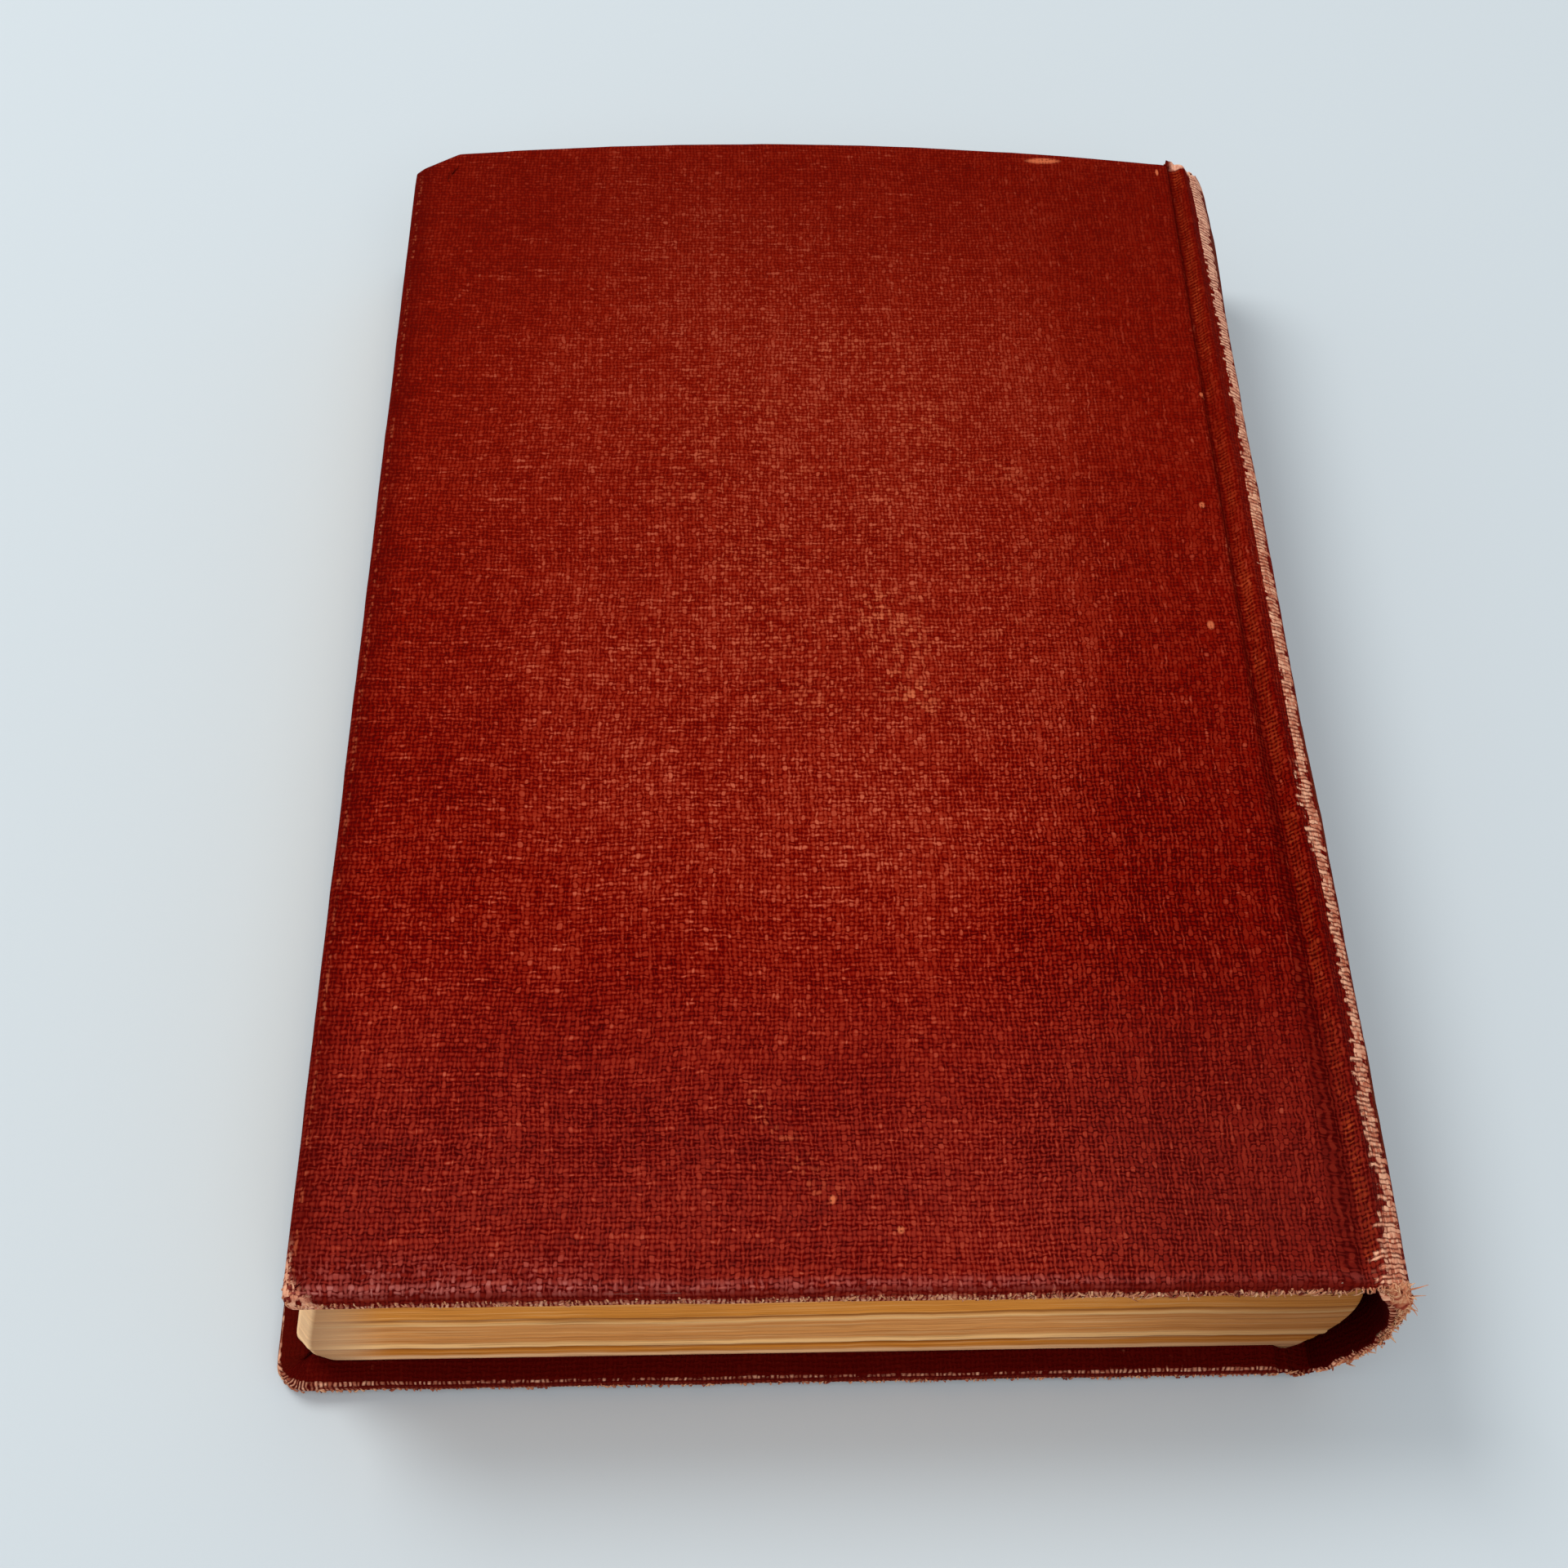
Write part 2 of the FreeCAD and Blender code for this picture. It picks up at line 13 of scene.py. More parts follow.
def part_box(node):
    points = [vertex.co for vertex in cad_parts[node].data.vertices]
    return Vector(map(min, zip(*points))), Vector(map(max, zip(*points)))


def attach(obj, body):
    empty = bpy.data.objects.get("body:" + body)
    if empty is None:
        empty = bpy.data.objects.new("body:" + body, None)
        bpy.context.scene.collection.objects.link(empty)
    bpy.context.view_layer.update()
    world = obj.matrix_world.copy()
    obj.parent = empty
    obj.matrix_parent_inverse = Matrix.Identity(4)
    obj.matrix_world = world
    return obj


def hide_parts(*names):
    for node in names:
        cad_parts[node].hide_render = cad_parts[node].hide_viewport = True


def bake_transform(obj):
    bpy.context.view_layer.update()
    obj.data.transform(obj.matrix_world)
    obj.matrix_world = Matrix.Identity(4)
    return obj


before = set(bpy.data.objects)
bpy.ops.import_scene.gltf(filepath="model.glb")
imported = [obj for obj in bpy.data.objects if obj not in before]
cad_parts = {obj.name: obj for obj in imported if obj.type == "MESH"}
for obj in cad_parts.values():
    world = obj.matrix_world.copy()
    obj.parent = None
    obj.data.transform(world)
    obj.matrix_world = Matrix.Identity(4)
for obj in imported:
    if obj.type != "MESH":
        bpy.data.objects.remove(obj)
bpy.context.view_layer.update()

MM = 0.001


def box_mm(node):
    """Lowest and highest corner of a solid, in millimetres."""
    low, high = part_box(node)
    return np.array(low) / MM, np.array(high) / MM


BACK_LOW, BACK_HIGH = box_mm("back_cover_cloth")
FRONT_LOW, FRONT_HIGH = box_mm("front_cover_cloth")
LEAVES_LOW, LEAVES_HIGH = box_mm("text_block")
BACK_BOARD_EDGE = box_mm("back_board")[1][0]
FRONT_BOARD_EDGE = box_mm("front_board")[1][0]

TAIL = BACK_LOW[1]
THICK = BACK_HIGH[2]
SPINE_HEIGHT = box_mm("spine_cloth")[1][1] - TAIL
COVER = 2.7
CLOTH = 0.32
WARP_PITCH = 0.55
WEFT_PITCH = 0.65
TURN_IN = 15.0
TURNED_DEPTH = 1.47
HEAD_BOW = 3.6
CLIP_ALONG = 6.2
CLIP_DOWN = 4.4
# A place well inside both covers' plans, by which a direction is known to point outwards.
INSIDE = np.array([60.0, 96.0])

# Centre and radius of the spine's arc, from ridge to ridge, and its two ridges.
ARC_X, ARC_Z, ARC_R = 48.764, 13.95, 15.35
BACK_RIDGE = 59.233
FRONT_RIDGE = 55.183


# Shader maths

class Value:
    """A shader socket that takes part in Python sums. Each sum adds its Math node."""

    def __init__(self, finish, socket):
        self.finish = finish
        self.socket = socket

    def math(self, operation, *others, clamp=False):
        inputs = dict(enumerate((self, *others)))
        return self.finish.value("ShaderNodeMath", inputs, operation=operation, use_clamp=clamp)

    __add__ = __radd__ = partialmethod(math, "ADD")
    __sub__ = partialmethod(math, "SUBTRACT")
    __mul__ = __rmul__ = partialmethod(math, "MULTIPLY")
    __truediv__ = partialmethod(math, "DIVIDE")
    __abs__ = partialmethod(math, "ABSOLUTE")
    floor = partialmethod(math, "FLOOR")
    sine = partialmethod(math, "SINE")
    at_least = partialmethod(math, "MAXIMUM")
    at_most = partialmethod(math, "MINIMUM")
    over = partialmethod(math, "GREATER_THAN")
    clamped = partialmethod(math, "ADD", 0.0, clamp=True)

    def __rsub__(self, other):
        return self * -1.0 + other

    def step(self, low, high):
        """0 below low, 1 above high and smooth between; low above high turns it round."""
        rises = float(low < high)
        return self.finish.value(
            "ShaderNodeMapRange", {"Value": self, "From Min": min(low, high), "From Max": max(low, high),
                                   "To Min": 1.0 - rises, "To Max": rises}, interpolation_type="SMOOTHSTEP")


class Finish:
    """One material: a Principled shader and its nodes. Three numbers in brackets are a colour."""

    def __init__(self, name, roughness, specular):
        self.material = bpy.data.materials.new(name)
        self.material.use_nodes = True
        self.tree = self.material.node_tree
        self.shader = next(n for n in self.tree.nodes if n.type == "BSDF_PRINCIPLED")
        self.set("Roughness", roughness)
        self.set("Specular IOR Level", specular)

    def set(self, name, source):
        self.feed(self.shader.inputs[name], source)

    def feed(self, socket, source):
        if isinstance(source, Value):
            source = source.socket
        if isinstance(source, bpy.types.NodeSocket):
            self.tree.links.new(source, socket)
        else:
            socket.default_value = srgb(*source) if isinstance(source, tuple) else source

    def node(self, kind, inputs, **settings):
        """A node of a kind: its settings first, then the values or links of its sockets."""
        made = self.tree.nodes.new(kind)
        for setting, value in settings.items():
            setattr(made, setting, value)
        for socket, source in inputs.items():
            self.feed(made.inputs[socket], source)
        return made

    def value(self, kind, inputs, output=0, **settings):
        return Value(self, self.node(kind, inputs, **settings).outputs[output])

    def place(self):
        """Where a point is in its own object's frame."""
        return self.node("ShaderNodeTexCoord", {}).outputs["Object"]

    def unrolled(self):
        """Where a point is on the flat sheet, or along and up the edge of a leaf."""
        return self.node("ShaderNodeUVMap", {}, uv_map="cloth").outputs[0]

    def split(self, vector):
        return [Value(self, part) for part in self.node("ShaderNodeSeparateXYZ", {0: vector}).outputs]

    def join(self, *parts):
        return self.node("ShaderNodeCombineXYZ", dict(enumerate(parts))).outputs[0]

    def noise(self, vector, scale, detail=2.0, roughness=0.5, space="3D"):
        inputs = {"Vector": vector, "Scale": scale, "Detail": detail, "Roughness": roughness}
        return self.value("ShaderNodeTexNoise", inputs, noise_dimensions=space)

    def plain_noise(self, vector, scale):
        """One octave of noise over a plane: the cheapest that still looks woven."""
        return self.noise(vector, scale, 0.0, space="2D")

    def speckle(self, *place):
        """A value by chance for each place, which is given as one to three numbers."""
        return self.value("ShaderNodeTexWhiteNoise", {"Vector": self.join(*place)}, noise_dimensions="3D")

    def arch(self, across, kind):
        """Height over one thread: one less the square of the way from its middle."""
        off = (across - 0.5) * (kind * 1.8 + 1.7)
        return (1.0 - off * off).at_least(0.0)

    def spot(self, x, y, at_x, at_y, reach_x, reach_y):
        """1 in the middle of an oval and 0 past its rim."""
        across = (x - at_x) / reach_x
        up = (y - at_y) / reach_y
        return (across * across + up * up).step(1.0, 0.15)

    def attribute(self, name):
        return self.value("ShaderNodeAttribute", {}, "Fac", attribute_name=name)

    def ramp(self, amount, stops):
        """Colour by amount from stops, each a place from 0 to 1 and its red, green and blue."""
        made = self.node("ShaderNodeValToRGB", {0: amount})
        elements = made.color_ramp.elements
        while len(elements) < len(stops):
            elements.new(0.5)
        for element, (place, *colour) in zip(elements, stops):
            element.position = place
            element.color = srgb(*colour)
        return made.outputs[0]

    def mix(self, amount, first, second):
        """Colour from first to second as amount goes from 0 to 1."""
        inputs = {0: amount, 6: first, 7: second}
        return self.node("ShaderNodeMix", inputs, data_type="RGBA", clamp_factor=True).outputs[2]

    def bump(self, height, distance, strength):
        inputs = {"Strength": strength, "Distance": distance, "Height": height}
        self.set("Normal", self.node("ShaderNodeBump", inputs).outputs[0])


def srgb(red, green, blue):
    """A colour of 0 to 255 as the eye reads it, in the linear values that a shader takes."""
    part = np.array([red, green, blue]) / 255.0
    linear = np.where(part <= 0.04045, part / 12.92, ((part + 0.055) / 1.055) ** 2.4)
    return (*linear.tolist(), 1.0)


# Meshes

def smooth(x, low, high):
    """0 below low, 1 above high, smooth between; low above high turns it round."""
    t = np.clip((x - low) / (high - low), 0.0, 1.0)
    return t * t * (3.0 - 2.0 * t)


def hump(x, middle, width):
    """A bell of height 1: exp of minus the square of the way from its middle, counted in widths."""
    return np.exp(-((x - middle) / width) ** 2)


def fade(x, reach):
    """1 up to x = 0, and exp of minus x / reach from there."""
    return np.exp(-np.clip(x, 0, None) / reach)


def unit(vectors):
    """Vectors brought to length one."""
    return vectors / np.maximum(np.linalg.norm(vectors, axis=-1, keepdims=True), 1e-9)


def linked(name, data):
    """An object for a mesh, a light or a camera."""
    made = bpy.data.objects.new(name, data)
    bpy.context.scene.collection.objects.link(made)
    return made


def make_piece(name, points, faces, material, floats, body=None, uv=None, flip=False):
    """A mesh object at the origin from points in millimetres and faces as rows of vertex numbers."""
    mesh = bpy.data.meshes.new(name)
    rows = [[int(i) for i in (row[::-1] if flip else row)] for row in faces]
    mesh.from_pydata(np.asarray(points, float) * MM, [], rows)
    mesh.update()
    if uv is not None:
        loops = np.zeros(len(mesh.loops), np.int32)
        mesh.loops.foreach_get("vertex_index", loops)
        layer = mesh.uv_layers.new(name="cloth")
        layer.data.foreach_set("uv", (np.asarray(uv, float) * MM)[loops].astype(np.float32).ravel())
    for label, values in floats.items():
        layer = mesh.attributes.new(label, "FLOAT", "POINT")
        layer.data.foreach_set("value", np.asarray(values, np.float32))
    mesh.shade_smooth()
    mesh.materials.append(material)
    piece = linked(name, mesh)
    if body:
        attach(piece, body)
    return piece


def thicken(piece):
    """The cloth's thickness, on the inner side of its outer face."""
    solidify = piece.modifiers.new("cloth_thickness", "SOLIDIFY")
    solidify.thickness = CLOTH * MM
    solidify.offset = -1.0


def grid_faces(rows, columns, wrap=False):
    """Quads over a grid whose vertices are numbered row by row; wrap joins the last column to the first."""
    r = np.arange(rows - 1)[:, None]
    c = np.arange(columns if wrap else columns - 1)[None, :]
    after = (c + 1) % columns
    row, next_row = r * columns, (r + 1) * columns
    return np.stack([row + c, row + after, next_row + after, next_row + c], -1).reshape(-1, 4)


def tube_faces(rows, columns, base=0):
    """Faces of a tube whose rings are numbered one after another from base, shut at both ends."""
    last = base + (rows - 1) * columns
    return [*map(tuple, grid_faces(rows, columns, wrap=True) + base),
            tuple(range(base, base + columns))[::-1], tuple(range(last, last + columns))]


def spaced(path):
    """Length along a polyline, zero at its first point."""
    return np.append(0.0, np.cumsum(np.linalg.norm(np.diff(path, axis=0), axis=1)))


def along(path, length, at):
    """Points at the given lengths along a polyline."""
    return np.stack([np.interp(at, length, part) for part in path.T], -1)


def wobble(x, seed, waves=5, longest=60.0):
    """A smooth random line of about unit height: sines of falling length whose phases come from seed."""
    rng = np.random.default_rng(seed)
    total = np.zeros(np.shape(x))
    for wave in range(waves):
        turn = 2 * np.pi * x / (longest * 0.62 ** wave)
        total = total + 0.75 ** wave * np.sin(turn + rng.uniform(0, 6.28))
    return total / 2.0


def rounded_turn(corners, radius):
    """A polyline whose inner corners are replaced by arcs that touch both sides, each of 13 points."""
    corners = np.array(corners, float)
    out = [corners[:1]]
    for before, at, after in zip(corners[:-2], corners[1:-1], corners[2:]):
        a = unit(before - at)
        b = unit(after - at)
        half = np.arccos(np.clip(a @ b, -1, 1)) / 2
        reach = radius / np.tan(half)
        centre = at + unit(a + b) * radius / np.sin(half)
        start, end = at + a * reach - centre, at + b * reach - centre
        sweep = np.pi - 2 * half
        t = np.linspace(0, 1, 13)[:, None]
        out.append(centre + (start * np.sin((1 - t) * sweep) + end * np.sin(t * sweep)) / np.sin(sweep))
    out.append(corners[-1:])
    return np.concatenate(out)


# The case's cross-section

def case_section():
    """The case's outer line from the back cover's flat, over its groove and ridge, round the spine's arc,
    and over the front ridge and groove to the front cover's flat. Each corner is rounded by a running
    mean."""
    theta = np.radians(np.linspace(43.5, -63.0, 60))
    arc = np.stack([ARC_X + ARC_R * np.cos(theta), ARC_Z + ARC_R * np.sin(theta)], -1)
    lead = [[20.0, THICK], [BACK_BOARD_EDGE - 0.1, THICK], [57.15, THICK - 1.12], [57.75, THICK - 1.12],
            [58.75, THICK - 0.02], [BACK_RIDGE + 0.25, THICK - 0.02]]
    end = [[FRONT_RIDGE + 0.1, 0.0], [54.55, 0.0], [53.75, 0.95], [53.25, 0.95],
           [FRONT_BOARD_EDGE + 0.1, 0.0], [16.0, 0.0]]
    path = np.concatenate([lead, arc, end])
    length = spaced(path)
    dense = along(path, length, np.arange(0.0, length[-1], 0.05))
    half = 13
    window = np.hanning(2 * half + 1)
    window /= window.sum()
    padded = np.pad(dense, ((half, half), (0, 0)), "edge")
    return np.stack([np.convolve(part, window, "valid") for part in padded.T], -1)[half:-half]


SECTION = case_section()
SECTION_LENGTH = spaced(SECTION)
SECTION_TURN = unit(np.gradient(SECTION, axis=0))
# A length along the section is counted so that it equals the distance from the back cover's fore-edge.
SECTION_START = SECTION[0, 0] - BACK_LOW[0]
SECTION_END = SECTION_LENGTH[-1] + SECTION_START


def length_where(test):
    """Section length of the first place on the section that passes a test on (x, z)."""
    return SECTION_LENGTH[np.argmax(test(*SECTION.T))] + SECTION_START


# Where the spine's cloth starts below the back ridge and ends by the front ridge.
SEAM_BACK = length_where(lambda x, z: (x > 59.5) & (z < 23.9))
SEAM_FRONT = length_where(lambda x, z: (x > 50) & (z < 1.0) & (x < 57.4))


def cap_level(s):
    """Height of the worn head edge: up past the board, down over the ridge and up round the spine."""
    return np.interp(s, [115.9, 117.2, 118.5, 119.6, 120.8, 124.0, 131.0],
                     [190.8, 191.9, 191.7, 190.9, 190.4, 190.9, SPINE_HEIGHT])


# Skew of the worn joint and spine: how far sideways they have moved at a height above the tail.
SKEW_HEIGHT = [0.0, 12.0, 22.0, 36.0, 50.0, 66.0, 88.0, 110.0, 135.0, 160.0, 192.0]
SKEW = [1.3, 1.45, 1.35, 0.95, 0.7, 0.35, -0.3, -0.4, -0.62, -0.65, -0.7]


def spine_shift(s, v):
    """How far the worn case stands off its section. Sideways, the joint and the spine's upper half are
    skewed outwards at the tail and inwards at the head, and the skew ends lower round the arc in
    mid-length. Along the section's outward direction the shoulder is full, the spine swells in mid-length,
    flares at the tail above its middle and is crushed at the head. Upwards, the groove fades at both
    ends."""
    from_head = SPINE_HEIGHT - v
    reach = np.interp(v, [4.0, 40.0, 145.0, 175.0], [0.3, 1.0, 1.0, 0.0])
    past = smooth(s, 116.0, 117.3) * smooth(s, 130.0 + 12.0 * reach, 124.0 + 6.0 * reach)
    bow = np.interp(v, SKEW_HEIGHT, SKEW) * past
    arc = smooth(s, 119.0, 123.0) * smooth(s, SEAM_FRONT - 1.0, SEAM_FRONT - 9.0)
    swell = 0.6 * np.sin(np.pi * np.clip(v / SPINE_HEIGHT, 0, 1)) + 0.5 * hump(s, SEAM_BACK + 2.8, 1.9)
    flare = 0.5 * fade(v, 7.0) * smooth(s, 130.0, 124.0)
    crush = 0.25 * fade(from_head, 9.0)
    ripple = 0.07 * wobble(v, 11, longest=30.0)
    groove = smooth(s, 116.3, 117.0) * smooth(s, 118.8, 118.0)
    ends = 0.85 * fade(from_head, 2.5) + 0.6 * fade(v, 3.0)
    return bow, arc * (swell + flare - crush + ripple), groove * ends


# Bare strip along the spine's shoulder: heights above the tail, its middle and its half width.
BAND_HEIGHT = [0, 6, 12, 22, 30, 36, 48, 58, 66, 76, 87, 109, 132, 158, 175, 190]
BAND_MIDDLE = [122.3, 122.6, 123.4, 122.5, 122.7, 123.25, 123.25, 122.7, 122.1, 122.4, 123.0, 122.9, 123.5,
               123.4, 123.0, 122.5]
BAND_HALF = [2.2, 1.8, 1.1, 1.1, 1.15, 1.0, 1.0, 1.2, 1.5, 1.25, 1.15, 1.6, 1.15, 1.15, 1.6, 2.4]


def wear_band(s, v):
    """Distance from the middle of the bare strip, counted in half widths of the strip."""
    return (s - np.interp(v, BAND_HEIGHT, BAND_MIDDLE)) / np.interp(v, BAND_HEIGHT, BAND_HALF)


def case_point(s, v, inward=0.0):
    """Place and outward direction on the case at section length s and height v above the tail: the
    section's place, moved by the worn shift, but never into the card. inward goes from 0 on the worn outer
    face to 1 on the turned-in cloth, which keeps its depth under the card."""
    s, v, inward = np.broadcast_arrays(s, v, inward)
    at = s.ravel() - SECTION_START
    place = along(SECTION, SECTION_LENGTH, at).reshape(*s.shape, 2)
    turn = along(SECTION_TURN, SECTION_LENGTH, at).reshape(*s.shape, 2)
    outward = np.stack([-turn[..., 1], np.zeros(s.shape), turn[..., 0]], -1)
    bow, off, lift = spine_shift(s, v)
    from_ridge = smooth(np.minimum(s - SEAM_BACK, SEAM_FRONT - s), 0.0, 2.0)
    over_card = smooth(s, 122.0, 123.0) * smooth(s, SEAM_FRONT - 0.5, SEAM_FRONT - 1.5)
    off = off + over_card * np.maximum(-0.28 - off - bow * outward[..., 0], 0)
    loose = smooth(1 - inward, 0.35, 1.0)
    off = off * loose - inward * TURNED_DEPTH * (0.68 + 0.32 * from_ridge)
    level = np.stack([place[..., 0] + bow * loose, TAIL + v, place[..., 1] + lift], -1)
    return level + outward * off[..., None], outward


# Covers

class CoverShape:
    """Plan and depth of one cover's cloth. Distances run from the fore-edge (u) and the tail edge (v)."""

    def __init__(self, name, back, low, high, board_edge, ridge):
        self.name = name
        self.back = back
        self.left = low[0]
        self.face = THICK if back else 0.0
        self.down = -1.0 if back else 1.0
        self.board = board_edge - self.left
        self.height = high[1] - TAIL - HEAD_BOW * back
        # Section length at which the front cover's fore-edge would be, and this cover's way to its seam.
        self.front_edge = SECTION_END + SECTION[-1, 0] - self.left
        self.far = SEAM_BACK if back else self.front_edge - SEAM_FRONT
        self.bodies = (name + "_cover", "leaves_and_spine")
        self.start = (board_edge * MM, 0, self.face * MM)
        self.end = (ridge * MM, 0, self.face * MM)
        self.outline()

    def surface(self, u, v):
        """Outer surface over the plan: flat, then the joint's groove and ridge. The back cover's flat has a
        slight swell and dents, which end before the joint."""
        s = u if self.back else self.front_edge - u
        point, _ = case_point(np.clip(s, SECTION_START, SECTION_END), v)
        flat = (s < SECTION_START) | (s > SECTION_END)
        point[..., 0] = np.where(flat, self.left + u, point[..., 0])
        point[..., 2] = np.where(flat, self.face, point[..., 2])
        if self.back:
            swell = 0.05 * wobble(u + 0.3 * v, 3, longest=95.0) + 0.04 * wobble(v - 0.2 * u, 5, longest=120.0)
            calm = smooth(u, self.board - 2.0, self.board - 9.0)
            point[..., 2] += calm * (0.02 + np.clip(swell, -0.08, 0.3))
        return point

    def head(self, u):
        """Head edge: straight, or bowed as an arc whose chord runs from the bumped corner to the spine."""
        if not self.back:
            drop = 1.3 * smooth(u, self.board, self.board + 3.0)
            return self.height - drop + 0.12 * wobble(u, 17) * smooth(u, 8.0, 18.0)
        half = (self.board - CLIP_ALONG) / 2
        radius = (half ** 2 + HEAD_BOW ** 2) / (2 * HEAD_BOW)
        off = np.clip(np.abs(u - self.board + half), 0, half)
        rise = np.sqrt(radius ** 2 - off ** 2) - (radius - HEAD_BOW)
        past = smooth(u, self.board - 0.5, self.board + 0.2)
        level = self.height + rise * (1 - past) + past * (cap_level(u) - self.height)
        return level + 0.05 * wobble(u, 19, longest=20.0) * smooth(u, 7.0, 12.0)

    def worn(self, share, u, v):
        """Where round the fold the thread is rubbed bare. On the upper cover it is the whole edge but its
        inner arris, most at the tail. On the lower cover it is both arrises of the tail edge and all of its
        corner."""
        if self.back:
            band = np.clip(share * 1.15, 0, 1) * smooth(share, 1.0, 0.95)
            head = smooth(v, self.height - 6.0, self.height - 3.0) * smooth(u, self.board - 3.0, self.board)
            return band * np.maximum(0.42, np.maximum(smooth(v, 6.0, 2.0), head))
        rows = hump(share, 0.3, 0.2) + 0.95 * hump(share, 0.9, 0.08)
        amount = 0.8 + 0.25 * fade(u, 14.0) + 0.2 * smooth(u, 84.0, 100.0)
        amount = amount * (1 - 0.6 * smooth(v, 6.0, 14.0))
        corner = np.exp(-(u ** 2 + v ** 2) / 7.0 ** 2) * smooth(share, 0.03, 0.12)
        return np.clip(rows * amount + 1.1 * corner * smooth(share, 1.0, 0.96), 0, 1)

    def hidden(self, share):
        """Where the cloth is turned in: it kept its deep red, and the finish darkens it more as painted
        shade.
        """
        return smooth(share, 0.93, 0.99) if self.back else smooth(share, 0.5, 0.8) * 0.98

    def depth(self, u):
        """Depth of the fold: the cover's thickness, and only the cloth's own past the board."""
        return COVER - (COVER - 0.95) * smooth(u, self.board + 0.06, self.board + 1.4)

    def outline(self):
        """Closed-side outline, from the spine at the tail round the fore-edge to the spine at the head, and
        the lengths along it of its start, of the middles of its two fore-edge corners and of its end."""
        height = self.height
        tail_u = np.arange(self.far, 8.0, -0.4)
        tail = np.stack([tail_u, 0.06 * wobble(tail_u, 21, longest=25.0) * smooth(tail_u, 8.0, 14.0)], -1)
        if self.back:
            near, clip = 1.3, 1.8
            head_corner = rounded_turn(
                [[0.0, height - CLIP_DOWN - 3.0], [0.0, height - CLIP_DOWN], [CLIP_ALONG, height],
                 [clip + CLIP_ALONG, self.head(clip + CLIP_ALONG)]], clip)
        else:
            near = 3.4
            head_corner = rounded_turn([[0.0, height - 6], [0.0, height], [6.0, height]], 1.5)
        tail_corner = rounded_turn([[6.0, 0.0], [0.0, 0.0], [0.0, 6.0]], near)
        side_v = np.arange(9.0, height - 10.0, 0.5)
        calm = smooth(side_v, 9.0, 20.0) * smooth(side_v, height - 11.0, height - 24.0)
        side = np.stack([0.05 * wobble(side_v, 23, longest=40.0) * calm, side_v], -1)
        head_u = np.arange(9.0, self.far + 0.2, 0.4)
        head = np.stack([head_u, self.head(head_u)], -1)
        self.path = np.concatenate([tail, tail_corner, side, head_corner, head])
        self.length = spaced(self.path)
        first = len(tail) + len(tail_corner) // 2
        second = len(tail) + len(tail_corner) + len(side) + len(head_corner) // 2
        self.marks = self.length[[0, first, second, -1]]
        self.head_start = len(self.path) - len(head)

    def trace(self, at, reach):
        """Places, ways along and ways outward at lengths along the outline, the way along from two places
        that are reach before and after."""
        place = along(self.path, self.length, at)
        way = unit(along(self.path, self.length, at + reach) - along(self.path, self.length, at - reach))
        outward = np.stack([-way[:, 1], way[:, 0]], -1)
        return place, way, outward * np.where(((place - INSIDE) * outward).sum(1) < 0, -1.0, 1.0)[:, None]


# The fold round a cover's edge: how far in from the outline, and how deep as a share of the cover's
# thickness. Its first rows ease from the grid's rim to the fold.
FOLD = np.array([
    (3.6, 0.0), (2.4, 0.0), (1.6, 0.004), (1.1, 0.012), (0.75, 0.035), (0.45, 0.085), (0.2, 0.16),
    (0.04, 0.26), (-0.04, 0.38), (-0.08, 0.5), (-0.09, 0.62), (-0.08, 0.74), (-0.03, 0.86), (0.08, 0.94),
    (0.3, 0.985), (0.6, 0.998), (1.4, 1.0), (3.2, 1.0), (4.7, 1.0), (5.3, 1.0), (9.0, 1.0), (TURN_IN, 1.0)])
EASE = (0.45, 0.75)
INNER = 5.0


